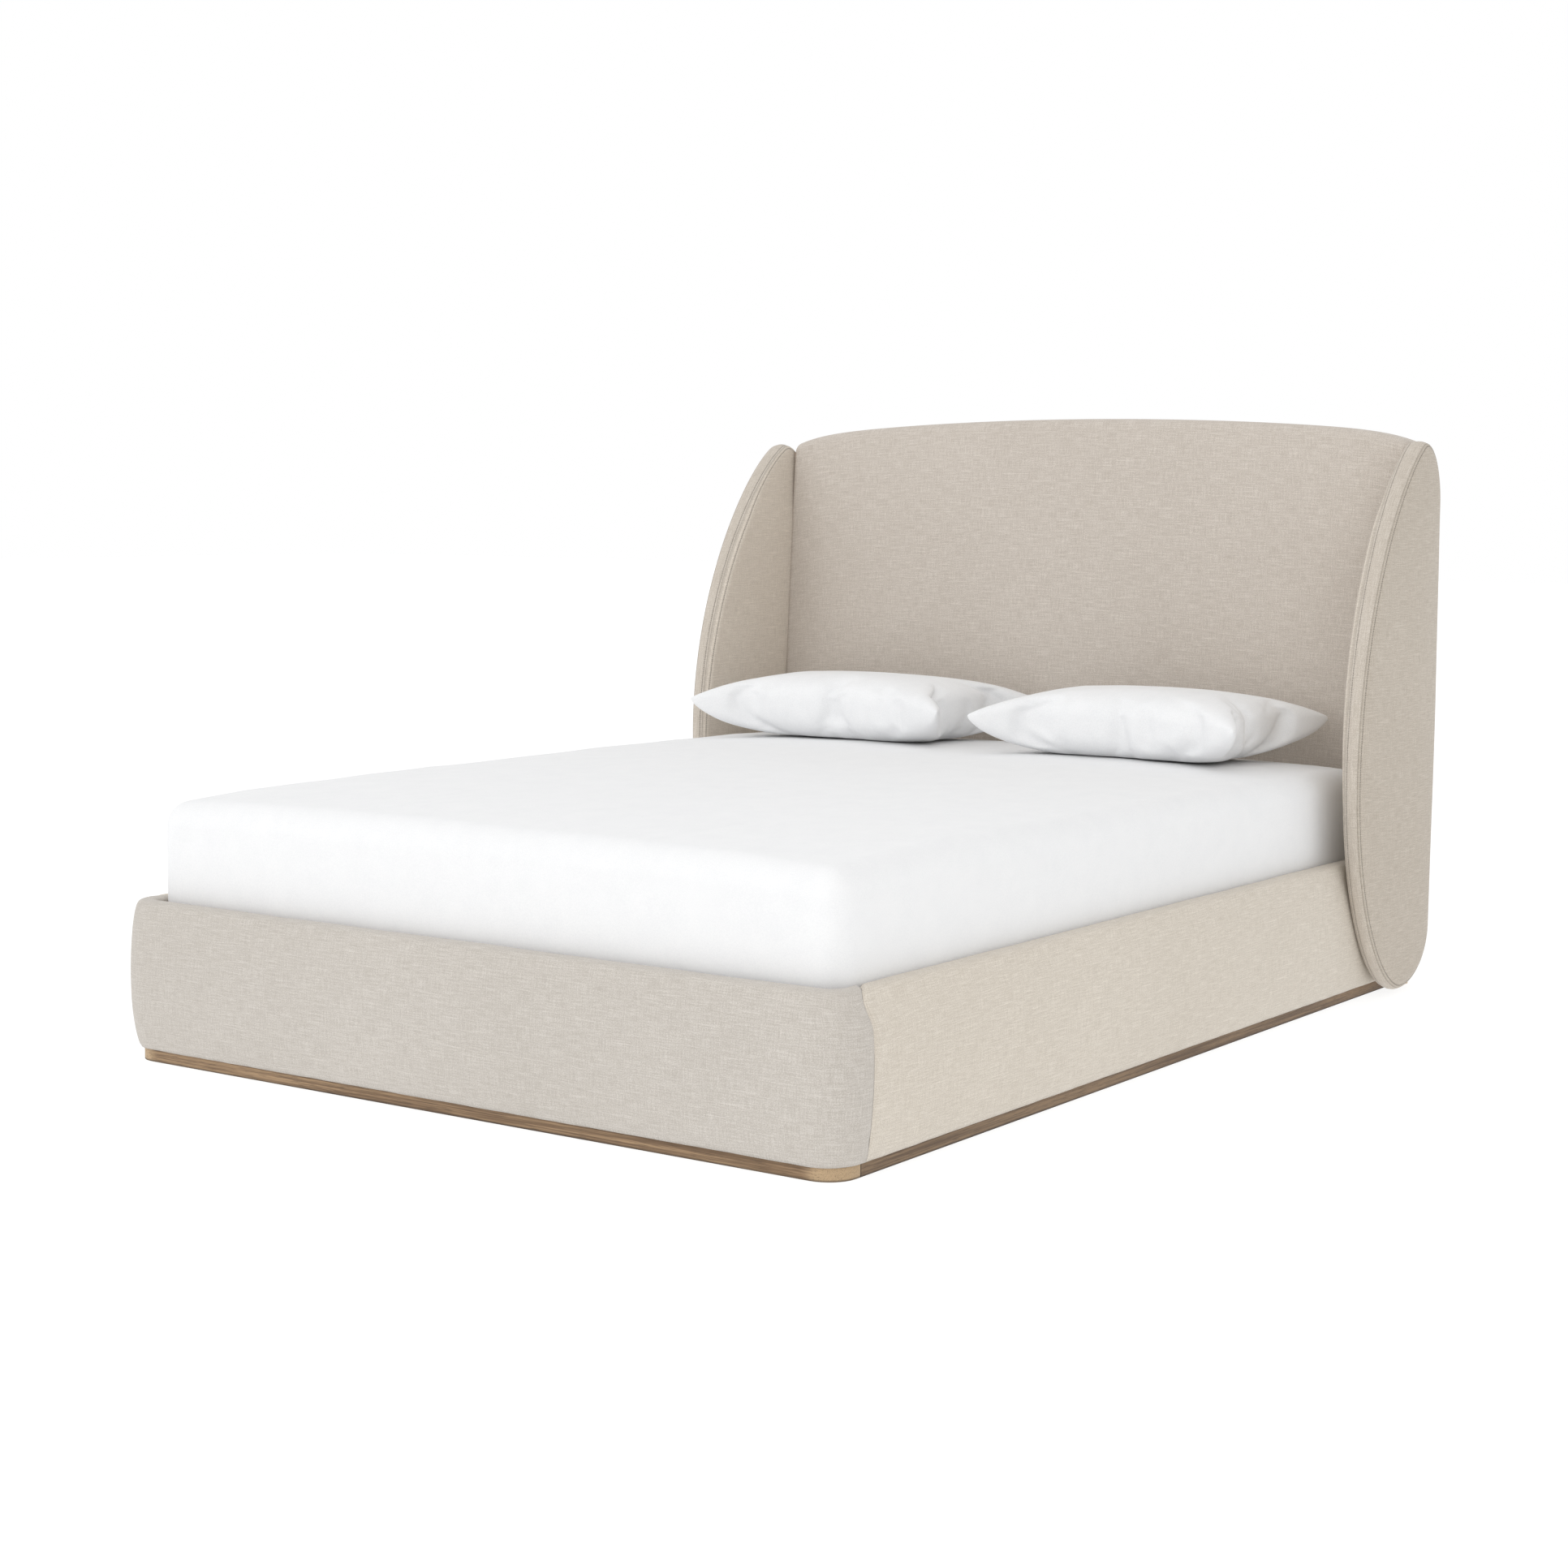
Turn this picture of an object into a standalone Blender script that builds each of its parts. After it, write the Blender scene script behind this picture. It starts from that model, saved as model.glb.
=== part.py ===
"""Upholstered bed with a padded headboard between two leaf-shaped wings, on a low oak plinth.

Metres, +Z up. The foot of the bed looks along -Y and the headboard stands at +Y.
Heights are measured from the floor. Depths d are measured from the front face of the plinth.
"""

import math

import bmesh
import bpy
from mathutils import Vector

for old in list(bpy.data.objects):
    bpy.data.objects.remove(old, do_unlink=True)

# ---------------------------------------------------------------- driving sizes
MATTRESS_WIDTH = 1.519
MATTRESS_LENGTH = 2.024
MATTRESS_THICKNESS = 0.262
MATTRESS_EDGE_RADIUS = 0.036
SHEET_THICKNESS = 0.0015

PLINTH_HEIGHT = 0.022
PLINTH_THICKNESS = 0.020
PLINTH_CORNER_RADIUS = 0.052
PLINTH_RETURN = 0.066          # how far the front piece runs back past its rounded corners

RAIL_TOP = 0.300               # crest of the padded rails
RAIL_BOARD = 0.020             # thickness of the rail timber
RAIL_CAP = 0.018               # padding over the top edge of the timber
RAIL_LINING = 0.0019           # padding between the timber and the mattress
RAIL_BELLY = 0.0235            # how far the padding bulges out past the plinth
RAIL_BOARD_INSET = 0.006       # timber face behind the plinth face
PAD_SEAM = 0.075               # depth at which the footboard cover meets the side covers
CORNER_STEPS = 8

SLAT_COUNT = 12
SLAT_WIDTH = 0.090
SLAT_THICKNESS = 0.018
SLAT_TOP = 0.2415
LEDGER_DEPTH = 0.030
LEDGER_HEIGHT = 0.040
BEAM_WIDTH = 0.040
BEAM_HEIGHT = 0.070
LEG_WIDTH = 0.042
LEG_COUNT = 3
LEVELLER_TRAVEL = 0.010
LEVELLER_DISC_RADIUS = 0.020
LEVELLER_DISC_HEIGHT = 0.008
STEM_RADIUS = 0.004
STEM_LENGTH = 0.040
BRACKET_STEEL = 0.0025

HEADBOARD_HEIGHT = 1.235       # crown of the arch
ARCH_FALL = 0.035              # drop of the shallow arch from crown to corner
ARCH_CORNER_FALL = 0.028       # extra drop of the soft corners
HEADBOARD_PAD = 0.035          # padding thickness at its edges
HEADBOARD_CROWN = 0.013        # extra padding at the middle
HEADBOARD_CAP = 0.016          # padding over the top edge of the frame
HEADBOARD_RECLINE = 0.026      # how far the padded face slopes back from its foot to its top
HEADBOARD_PANEL = 0.009
HEADBOARD_FRAME = 0.042        # depth of the frame timbers
HEADBOARD_BACK = 0.0025
POST_WIDTH = 0.045
CROSS_RAIL = 0.080

WING_TIP = 1.180
WING_BOTTOM = 0.011
WING_WAIST = 0.490             # height at which the wing reaches furthest forward
WING_DEPTH = 0.411             # front to back at that height
WING_TIP_BACK = 0.085          # from the tip back to the rear edge
WING_TIP_DROP = 0.135
WING_HEEL_BACK = 0.150
WING_HEEL_RISE = 0.125
WING_BOARD = 0.016
WING_INNER_PAD = 0.0115
WING_OUTER_PAD = 0.0115        # at its edge
WING_OUTER_CROWN = 0.011       # extra padding at the middle of the outer face
WING_BAND = 0.005              # thickness of the band round the front edge

PILLOW_WIDTH = 0.680
PILLOW_DEPTH = 0.480
PILLOW_HEIGHT = 0.150
PILLOW_GAP = 0.035             # between the two pillows
PILLOW_FROM_HEADBOARD = 0.030

# ---------------------------------------------------------------- fits
TOUCH = 0.0005                 # between pieces fixed together
SHEET_FIT = 0.0006             # sheet off the mattress
MATTRESS_SIDE_FIT = 0.0015     # mattress and sheet off the side rails
MATTRESS_FOOT_FIT = 0.0120
MATTRESS_HEAD_FIT = 0.0520
WING_FIT = 0.0015              # wing off the widest part of the rail cover
HEADBOARD_SIDE_FIT = 0.0030    # the dark line between headboard and wing
STEM_FIT = 0.0006

# ---------------------------------------------------------------- positions that follow
mattress_half = MATTRESS_WIDTH / 2
sheet_half = mattress_half + SHEET_FIT + SHEET_THICKNESS
pad_inner = sheet_half + MATTRESS_SIDE_FIT
board_inner = pad_inner + RAIL_LINING
board_outer = board_inner + RAIL_BOARD
plinth_half = board_outer + RAIL_BOARD_INSET
belly_half = plinth_half + RAIL_BELLY
wing_inner = belly_half + WING_FIT
headboard_half = wing_inner - HEADBOARD_SIDE_FIT

sheet_front = (plinth_half - pad_inner) + MATTRESS_FOOT_FIT
mattress_front = sheet_front + SHEET_THICKNESS + SHEET_FIT
mattress_back = mattress_front + MATTRESS_LENGTH
crown_front = mattress_back + SHEET_FIT + SHEET_THICKNESS + MATTRESS_HEAD_FIT
pad_front = crown_front + HEADBOARD_CROWN
panel_front = pad_front + HEADBOARD_PAD + TOUCH
frame_front = panel_front + HEADBOARD_PANEL + TOUCH
frame_back = frame_front + HEADBOARD_FRAME
cover_back = frame_back + TOUCH + HEADBOARD_BACK
wing_back = cover_back
rail_end = panel_front - TOUCH
total_length = RAIL_BELLY + wing_back

front_y = -total_length / 2 + RAIL_BELLY
board_top = RAIL_TOP - RAIL_CAP - TOUCH
mattress_bottom = SLAT_TOP + TOUCH
mattress_top = mattress_bottom + MATTRESS_THICKNESS
slat_bottom = SLAT_TOP - SLAT_THICKNESS
ledger_top = slat_bottom - TOUCH
beam_bottom = ledger_top - BEAM_HEIGHT
board_bottom = PLINTH_HEIGHT + TOUCH
pad_bottom = PLINTH_HEIGHT + 0.0015


def at(d):
    """World y of a depth measured from the front face of the plinth."""
    return front_y + d


# ---------------------------------------------------------------- materials
def material(name, colour, roughness, metallic=0.0):
    made = bpy.data.materials.new(name)
    made.use_nodes = True
    shader = made.node_tree.nodes["Principled BSDF"]
    shader.inputs["Base Color"].default_value = (*colour, 1)
    shader.inputs["Roughness"].default_value = roughness
    shader.inputs["Metallic"].default_value = metallic
    return made


LINEN = ((0.60, 0.54, 0.46), 0.90)
LINING = ((0.55, 0.50, 0.43), 0.92)
OAK = ((0.36, 0.23, 0.13), 0.55)
PINE = ((0.66, 0.50, 0.32), 0.65)
PLYWOOD = ((0.62, 0.46, 0.29), 0.60)
STEEL = ((0.30, 0.30, 0.31), 0.40, 1.0)
COTTON = ((0.86, 0.86, 0.85), 0.85)
TICKING = ((0.80, 0.79, 0.76), 0.90)
NYLON = ((0.06, 0.06, 0.06), 0.50)
BACKING = ((0.10, 0.10, 0.10), 0.95)


# ---------------------------------------------------------------- shapes
def finish(name, shape, look, middle, smooth=False):
    """Turns a bmesh drawn round its own middle into a node placed there."""
    bmesh.ops.remove_doubles(shape, verts=shape.verts, dist=1e-6)
    bmesh.ops.recalc_face_normals(shape, faces=shape.faces)
    mesh = bpy.data.meshes.new(name)
    shape.to_mesh(mesh)
    shape.free()
    if smooth:
        for face in mesh.polygons:
            face.use_smooth = True
    made = bpy.data.objects.new(name, mesh)
    made.location = middle
    mesh.materials.append(material(name, *look))
    bpy.context.collection.objects.link(made)
    return made


def block(name, xs, ys, zs, look, edge=0.0, steps=1):
    """A box between two limits on each axis, with its edges eased by the radius given."""
    size = Vector((xs[1] - xs[0], ys[1] - ys[0], zs[1] - zs[0]))
    middle = Vector((xs[0] + xs[1], ys[0] + ys[1], zs[0] + zs[1])) / 2
    shape = bmesh.new()
    bmesh.ops.create_cube(shape, size=1)
    bmesh.ops.scale(shape, vec=size, verts=shape.verts)
    if edge:
        bmesh.ops.bevel(shape, geom=shape.edges[:], offset=edge, segments=steps, profile=0.5,
                        affect="EDGES")
    return finish(name, shape, look, middle, smooth=steps > 1)


def skin(shape, loops, closed_path=False):
    """Joins a row of point loops into one closed body, with flat ends unless the row closes."""
    rings = [[shape.verts.new(point) for point in loop] for loop in loops]
    pairs = list(zip(rings, rings[1:]))
    if closed_path:
        pairs.append((rings[-1], rings[0]))
    for low, high in pairs:
        for i in range(len(low)):
            j = (i + 1) % len(low)
            shape.faces.new((low[i], low[j], high[j], high[i]))
    if not closed_path:
        shape.faces.new(rings[0])
        shape.faces.new(rings[-1])


def stations(first, last, radius, half):
    """Points with outward directions along the front of the bed and round its corners.

    The row starts on the left side at depth `first`, and ends on the right at depth `last`.
    """
    row = [(Vector((-half, first)), Vector((-1, 0)))]
    for side, start in ((-1, 180), (1, 270)):
        centre = Vector((side * (half - radius), radius))
        for i in range(CORNER_STEPS + 1):
            turn = math.radians(start + 90 * i / CORNER_STEPS)
            out = Vector((math.cos(turn), math.sin(turn)))
            row.append((centre + radius * out, out))
    row.append((Vector((half, last)), Vector((1, 0))))
    return row


def wrap(name, row, section, look, smooth=True):
    """Carries a section of (outward, height) points along a row of stations."""
    loops = []
    for place, out in row:
        loops.append([(place.x + out.x * o, at(place.y + out.y * o), z) for o, z in section])
    middle = Vector((0, at(0), section[0][1]))
    shape = bmesh.new()
    skin(shape, [[Vector(p) - middle for p in loop] for loop in loops])
    return finish(name, shape, look, middle, smooth)


def straight(name, side, start, end, section, look, smooth=True):
    """Carries the same kind of section along one side of the bed."""
    middle = Vector((side * plinth_half, at((start + end) / 2), section[0][1]))
    loops = []
    for d in (start, end):
        loops.append([Vector((side * (plinth_half + o), at(d), z)) - middle for o, z in section])
    shape = bmesh.new()
    skin(shape, loops)
    return finish(name, shape, look, middle, smooth)


# ---------------------------------------------------------------- plinth
strip = [(0, 0), (0, PLINTH_HEIGHT), (-PLINTH_THICKNESS, PLINTH_HEIGHT), (-PLINTH_THICKNESS, 0)]
wrap("plinth_front", stations(PLINTH_RETURN, PLINTH_RETURN, PLINTH_CORNER_RADIUS, plinth_half),
     strip, OAK, smooth=False)
for side, word in ((-1, "left"), (1, "right")):
    straight(f"plinth_{word}", side, PLINTH_RETURN + TOUCH, rail_end, strip, OAK, smooth=False)

# ---------------------------------------------------------------- rail timbers
board = [(-RAIL_BOARD_INSET, board_bottom), (-RAIL_BOARD_INSET, board_top),
         (-RAIL_BOARD_INSET - RAIL_BOARD, board_top), (-RAIL_BOARD_INSET - RAIL_BOARD, board_bottom)]
corner_clear = PLINTH_CORNER_RADIUS + TOUCH
block("foot_rail", (-plinth_half + corner_clear, plinth_half - corner_clear),
      (at(RAIL_BOARD_INSET), at(RAIL_BOARD_INSET + RAIL_BOARD)), (board_bottom, board_top), PINE)
for side, word in ((-1, "left"), (1, "right")):
    block(f"side_rail_{word}", sorted((side * board_inner, side * board_outer)),
          (at(corner_clear), at(rail_end)), (board_bottom, board_top), PINE)
    loops = []
    for i in range(CORNER_STEPS + 1):
        turn = math.radians(90 * i / CORNER_STEPS)
        out = Vector((side * math.sin(turn), -math.cos(turn)))
        centre = Vector((side * (plinth_half - PLINTH_CORNER_RADIUS), PLINTH_CORNER_RADIUS))
        loops.append([Vector((*(centre + out * (PLINTH_CORNER_RADIUS + o)), z)) for o, z in board])
    middle = Vector((side * (plinth_half - PLINTH_CORNER_RADIUS), at(PLINTH_CORNER_RADIUS), 0))
    shape = bmesh.new()
    skin(shape, [[Vector((p.x, at(p.y), p.z)) - middle for p in loop] for loop in loops])
    finish(f"corner_block_{word}", shape, PINE, middle)

# ---------------------------------------------------------------- padded rail covers
pad_back = -RAIL_BOARD_INSET + TOUCH
cover = [(pad_back, pad_bottom)]
belly_height = (pad_bottom + RAIL_TOP) / 2
for i in range(11):
    t = -0.94 + 1.84 * i / 10
    reach = RAIL_BELLY * math.sqrt(1 - t * t)
    cover.append((reach, belly_height + t * (RAIL_TOP - pad_bottom) / 2 * 1.04))
crest_drop = 0.004
cap_out = plinth_half - pad_inner
cover += [(-0.002, RAIL_TOP - crest_drop * 0.4), (-cap_out / 2, RAIL_TOP),
          (-cap_out, RAIL_TOP - crest_drop), (-cap_out, board_top + TOUCH), (pad_back, board_top + TOUCH)]
wrap("footboard_cover", stations(PAD_SEAM, PAD_SEAM, PLINTH_CORNER_RADIUS, plinth_half), cover, LINEN)
for side, word in ((-1, "left"), (1, "right")):
    straight(f"side_cover_{word}", side, PAD_SEAM + TOUCH, rail_end, cover, LINEN)

# ---------------------------------------------------------------- slat supports
beam_front = RAIL_BOARD_INSET + RAIL_BOARD + BRACKET_STEEL + 2 * TOUCH
beam_back = rail_end - BRACKET_STEEL - TOUCH
for side, word in ((-1, "left"), (1, "right")):
    block(f"slat_ledger_{word}",
          sorted((side * (board_inner - TOUCH), side * (board_inner - TOUCH - LEDGER_DEPTH))),
          (at(corner_clear), at(mattress_back)), (ledger_top - LEDGER_HEIGHT, ledger_top), PINE)
block("centre_beam", (-BEAM_WIDTH / 2, BEAM_WIDTH / 2), (at(beam_front), at(beam_back)),
      (beam_bottom, ledger_top), PINE)


def cradle(name, d_plate, step):
    """A pressed-steel U that the beam's end drops into, with a plate behind it."""
    inner = BEAM_WIDTH / 2 + TOUCH
    outer = inner + BRACKET_STEEL
    floor = beam_bottom - TOUCH
    loops = []
    wall = [(-outer, floor - BRACKET_STEEL), (outer, floor - BRACKET_STEEL), (outer, ledger_top - 0.010),
            (inner, ledger_top - 0.010), (inner, floor), (-inner, floor), (-inner, ledger_top - 0.010),
            (-outer, ledger_top - 0.010)]
    middle = Vector((0, at(d_plate), beam_bottom))
    for d in (d_plate, d_plate + step * 0.045):
        loops.append([Vector((x, at(d), z)) - middle for x, z in wall])
    shape = bmesh.new()
    skin(shape, loops)
    made = finish(name, shape, STEEL, middle)
    plate = block(name + "_plate", (-0.045, 0.045), sorted((at(d_plate), at(d_plate + step * BRACKET_STEEL))),
                  (floor - BRACKET_STEEL, ledger_top - 0.010), STEEL)
    plate.hide_render = True
    plate.display_type = "WIRE"
    join = made.modifiers.new("plate", "BOOLEAN")
    join.operation = "UNION"
    join.object = plate


cradle("beam_cradle_foot", RAIL_BOARD_INSET + RAIL_BOARD + TOUCH, 1)
cradle("beam_cradle_head", rail_end, -1)

# ---------------------------------------------------------------- centre legs with levelling feet
leg_bottom = LEVELLER_DISC_HEIGHT + LEVELLER_TRAVEL + 0.002
for i in range(LEG_COUNT):
    d = beam_front + (beam_back - beam_front) * (i + 0.5) / LEG_COUNT
    leg = block(f"centre_leg_{i + 1}", (-LEG_WIDTH / 2, LEG_WIDTH / 2),
                (at(d - LEG_WIDTH / 2), at(d + LEG_WIDTH / 2)), (leg_bottom, beam_bottom - TOUCH), PINE)
    shape = bmesh.new()
    bore_top = STEM_LENGTH + LEVELLER_TRAVEL + LEVELLER_DISC_HEIGHT + 0.004
    bmesh.ops.create_cone(shape, cap_ends=True, segments=20, radius1=STEM_RADIUS + STEM_FIT,
                          radius2=STEM_RADIUS + STEM_FIT, depth=bore_top)
    drill = finish(f"drill_{i + 1}", shape, STEEL, (0, at(d), bore_top / 2))
    drill.hide_render = True
    drill.display_type = "WIRE"
    cut = leg.modifiers.new("bore", "BOOLEAN")
    cut.operation = "DIFFERENCE"
    cut.object = drill
    shape = bmesh.new()
    turned = [(0, 0), (LEVELLER_DISC_RADIUS - 0.001, 0), (LEVELLER_DISC_RADIUS, 0.001),
              (LEVELLER_DISC_RADIUS, LEVELLER_DISC_HEIGHT - 0.002),
              (LEVELLER_DISC_RADIUS - 0.005, LEVELLER_DISC_HEIGHT), (STEM_RADIUS, LEVELLER_DISC_HEIGHT),
              (STEM_RADIUS, LEVELLER_DISC_HEIGHT + STEM_LENGTH), (0, LEVELLER_DISC_HEIGHT + STEM_LENGTH)]
    points = [shape.verts.new((r, 0, z)) for r, z in turned]
    lines = [shape.edges.new(pair) for pair in zip(points, points[1:])]
    bmesh.ops.spin(shape, geom=points + lines, cent=(0, 0, 0), axis=(0, 0, 1), angle=math.tau,
                   steps=20, use_merge=True)
    finish(f"leveller_{i + 1}", shape, NYLON, (0, at(d), 0))

# ---------------------------------------------------------------- slats
first_slat = mattress_front + 0.030
last_slat = mattress_back - 0.030 - SLAT_WIDTH
for i in range(SLAT_COUNT):
    d = first_slat + (last_slat - first_slat) * i / (SLAT_COUNT - 1)
    reach = board_inner - 0.003
    block(f"slat_{i + 1:02d}", (-reach, reach), (at(d), at(d + SLAT_WIDTH)), (slat_bottom, SLAT_TOP),
          PINE, edge=0.003)

# ---------------------------------------------------------------- rail brackets
bracket_low = 0.080
bracket_high = 0.160
for side, word in ((-1, "left"), (1, "right")):
    x_face = board_inner - TOUCH
    d_face = rail_end
    arm = 0.055
    bend = [(x_face, d_face), (x_face, d_face - arm), (x_face - BRACKET_STEEL, d_face - arm),
            (x_face - BRACKET_STEEL, d_face - BRACKET_STEEL), (x_face - arm, d_face - BRACKET_STEEL),
            (x_face - arm, d_face)]
    middle = Vector((side * x_face, at(d_face), bracket_low))
    shape = bmesh.new()
    skin(shape, [[Vector((side * x, at(d), z)) - middle for x, d in bend] for z in (bracket_low, bracket_high)])
    finish(f"rail_bracket_{word}", shape, STEEL, middle)


# ---------------------------------------------------------------- headboard
def arch(x, drop=0.0):
    """Height of the headboard's top edge at x, lowered by the drop given."""
    share = abs(x) / headboard_half
    return HEADBOARD_HEIGHT - ARCH_FALL * share ** 2 - ARCH_CORNER_FALL * share ** 12 - drop


def arch_outline(half, low, drop, steps=24):
    """Front view of a board under the arch, as (x, z) points."""
    top = [-half * math.cos(math.pi * i / steps) for i in range(steps + 1)]
    return [(-half, low)] + [(x, arch(x, drop)) for x in top] + [(half, low)]


def upright(name, outline, rings, look, smooth=False):
    """A board standing across the bed. Each ring is a depth with how far the outline draws in."""
    mid_x = (max(x for x, z in outline) + min(x for x, z in outline)) / 2
    mid_z = (max(z for x, z in outline) + min(z for x, z in outline)) / 2
    half_x = max(x for x, z in outline) - mid_x
    half_z = max(z for x, z in outline) - mid_z
    middle = Vector((mid_x, at(rings[0][0]), mid_z))
    loops = []
    for d, draw in rings:
        loops.append([Vector((mid_x + (x - mid_x) * (1 - draw / half_x), at(d),
                              mid_z + (z - mid_z) * (1 - draw / half_z))) - middle for x, z in outline])
    shape = bmesh.new()
    skin(shape, loops)
    return finish(name, shape, look, middle, smooth)


frame_drop = HEADBOARD_CAP + 3 * TOUCH
post_inner = headboard_half - POST_WIDTH - 0.002
for side, word in ((-1, "left"), (1, "right")):
    edge_x = headboard_half - 0.002
    xs = [side * (post_inner + (edge_x - post_inner) * i / 4) for i in range(5)]
    if side < 0:
        xs.reverse()
    outline = [(xs[0], 0)] + [(x, arch(x, frame_drop)) for x in xs] + [(xs[-1], 0)]
    upright(f"headboard_post_{word}", outline, [(frame_front, 0), (frame_back, 0)], PINE)
inside = post_inner - TOUCH
top_points = [-inside * math.cos(math.pi * i / 20) for i in range(21)]
lower = [(x, arch(x, frame_drop + CROSS_RAIL)) for x in reversed(top_points)]
upright("headboard_top_rail", [(x, arch(x, frame_drop)) for x in top_points] + lower,
        [(frame_front, 0), (frame_back, 0)], PINE)
middle_low = RAIL_TOP + (HEADBOARD_HEIGHT - RAIL_TOP) * 0.36
bottom_low = beam_bottom - 0.040
for word, low in (("middle", middle_low), ("bottom", bottom_low)):
    block(f"headboard_{word}_rail", (-inside, inside), (at(frame_front), at(frame_back)),
          (low, low + CROSS_RAIL), PINE)
upright("headboard_panel", arch_outline(headboard_half - 0.002, bottom_low - 0.040, frame_drop),
        [(panel_front, 0), (panel_front + HEADBOARD_PANEL, 0)], PLYWOOD)
upright("headboard_back_cover", arch_outline(headboard_half - 0.002, bottom_low - 0.040, frame_drop),
        [(frame_back + TOUCH, 0), (cover_back, 0)], BACKING)

pad_low = RAIL_TOP + 0.012
rings = [(frame_back + TOUCH * 0.8, 0.004), (frame_back - 0.006, 0), (pad_front + 0.014, 0),
         (pad_front + 0.004, 0.004), (pad_front, 0.016), (pad_front - HEADBOARD_CROWN * 0.55, 0.120),
         (crown_front + 0.001, 0.260), (crown_front, 0.330)]
pad = upright("headboard_pad", arch_outline(headboard_half, pad_low, 0), rings, LINEN, smooth=True)
for vert in pad.data.vertices:
    if pad.location.y + vert.co.y < at(panel_front - TOUCH):
        up = (pad.location.z + vert.co.z - pad_low) / (HEADBOARD_HEIGHT - pad_low)
        vert.co.y += HEADBOARD_RECLINE * up
hollow = upright("headboard_hollow", arch_outline(headboard_half + 0.02, pad_low - 0.3, HEADBOARD_CAP),
                 [(panel_front - TOUCH, 0), (cover_back + 0.05, 0)], PINE)
hollow.hide_render = True
hollow.display_type = "WIRE"
cut = pad.modifiers.new("hollow", "BOOLEAN")
cut.operation = "DIFFERENCE"
cut.object = hollow


# ---------------------------------------------------------------- wings
def quarter(centre, reach, rise, start, bulge, steps):
    """A quarter of a rounded curve from one axis to the next; bulge 1 is an ellipse."""
    points = []
    for i in range(steps):
        turn = math.radians(start + 90 * i / steps)
        c, s = math.cos(turn), math.sin(turn)
        flat = math.copysign(abs(c) ** (1 / bulge), c)
        points.append((centre[0] + reach * flat, centre[1] + rise * s))
    return points


def leaf(inset):
    """Side view of a wing as (depth, height) points, drawn in by the inset except at its back."""
    back = wing_back
    front = wing_back - WING_DEPTH + inset
    top = WING_TIP - inset
    low = WING_BOTTOM + inset
    tip = wing_back - WING_TIP_BACK
    heel = wing_back - WING_HEEL_BACK
    points = quarter((tip, WING_TIP - WING_TIP_DROP), back - tip, top - WING_TIP + WING_TIP_DROP, 0, 1, 6)
    points += quarter((tip, WING_WAIST), tip - front, top - WING_WAIST, 90, 0.64, 16)
    points += quarter((heel, WING_WAIST), heel - front, WING_WAIST - low, 180, 0.85, 12)
    points += quarter((heel, WING_BOTTOM + WING_HEEL_RISE), back - heel,
                      WING_HEEL_RISE - inset, 270, 1, 6)
    points.append((back, WING_BOTTOM + WING_HEEL_RISE))
    return points


def plate(name, side, outline, rings, look, smooth=False):
    """A leaf-shaped plate. Each ring is a distance from the middle of the bed and a draw-in share."""
    mid_d = sum(d for d, z in outline) / len(outline)
    mid_z = (WING_TIP + WING_BOTTOM) / 2
    middle = Vector((side * rings[0][0], at(mid_d), mid_z))
    loops = []
    for x, draw in rings:
        loops.append([Vector((side * x, at(mid_d + (d - mid_d) * (1 - draw)),
                              mid_z + (z - mid_z) * (1 - draw * 0.6))) - middle for d, z in outline])
    shape = bmesh.new()
    skin(shape, loops)
    return finish(name, shape, look, middle, smooth)


board_x = wing_inner + WING_INNER_PAD + TOUCH
outer_x = board_x + WING_BOARD + TOUCH
outer_edge = outer_x + WING_OUTER_PAD
panel_line = leaf(WING_BAND + TOUCH)
for side, word in ((-1, "left"), (1, "right")):
    plate(f"wing_inner_pad_{word}", side, panel_line,
          [(wing_inner, 0.012), (wing_inner + 0.002, 0), (wing_inner + WING_INNER_PAD, 0)], LINEN, True)
    plate(f"wing_board_{word}", side, panel_line, [(board_x, 0), (board_x + WING_BOARD, 0)], PLYWOOD)
    plate(f"wing_outer_pad_{word}", side, panel_line,
          [(outer_x, 0), (outer_edge - 0.002, 0), (outer_edge, 0.012), (outer_edge + WING_OUTER_CROWN * 0.5, 0.14),
           (outer_edge + WING_OUTER_CROWN * 0.9, 0.40), (outer_edge + WING_OUTER_CROWN, 0.62)], LINEN, True)
    outside = leaf(0.0)
    inside_line = leaf(WING_BAND)
    count = len(outside)
    first = 4
    last = 6 + 16 + 12 + 5
    shape = bmesh.new()
    middle = Vector((side * wing_inner, at(wing_back - WING_DEPTH), WING_WAIST))
    loops = []
    for i in range(first, last):
        (d0, z0), (d1, z1) = outside[i], inside_line[i]
        loops.append([Vector((side * x, at(d), z)) - middle for x, d, z in (
            (wing_inner, d0, z0), (outer_edge, d0, z0), (outer_edge, d1, z1), (wing_inner, d1, z1))])
    skin(shape, loops)
    finish(f"wing_band_{word}", shape, LINEN, middle, True)

# ---------------------------------------------------------------- bedding
block("mattress", (-mattress_half, mattress_half), (at(mattress_front), at(mattress_back)),
      (mattress_bottom, mattress_top), TICKING, edge=MATTRESS_EDGE_RADIUS, steps=5)

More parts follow.
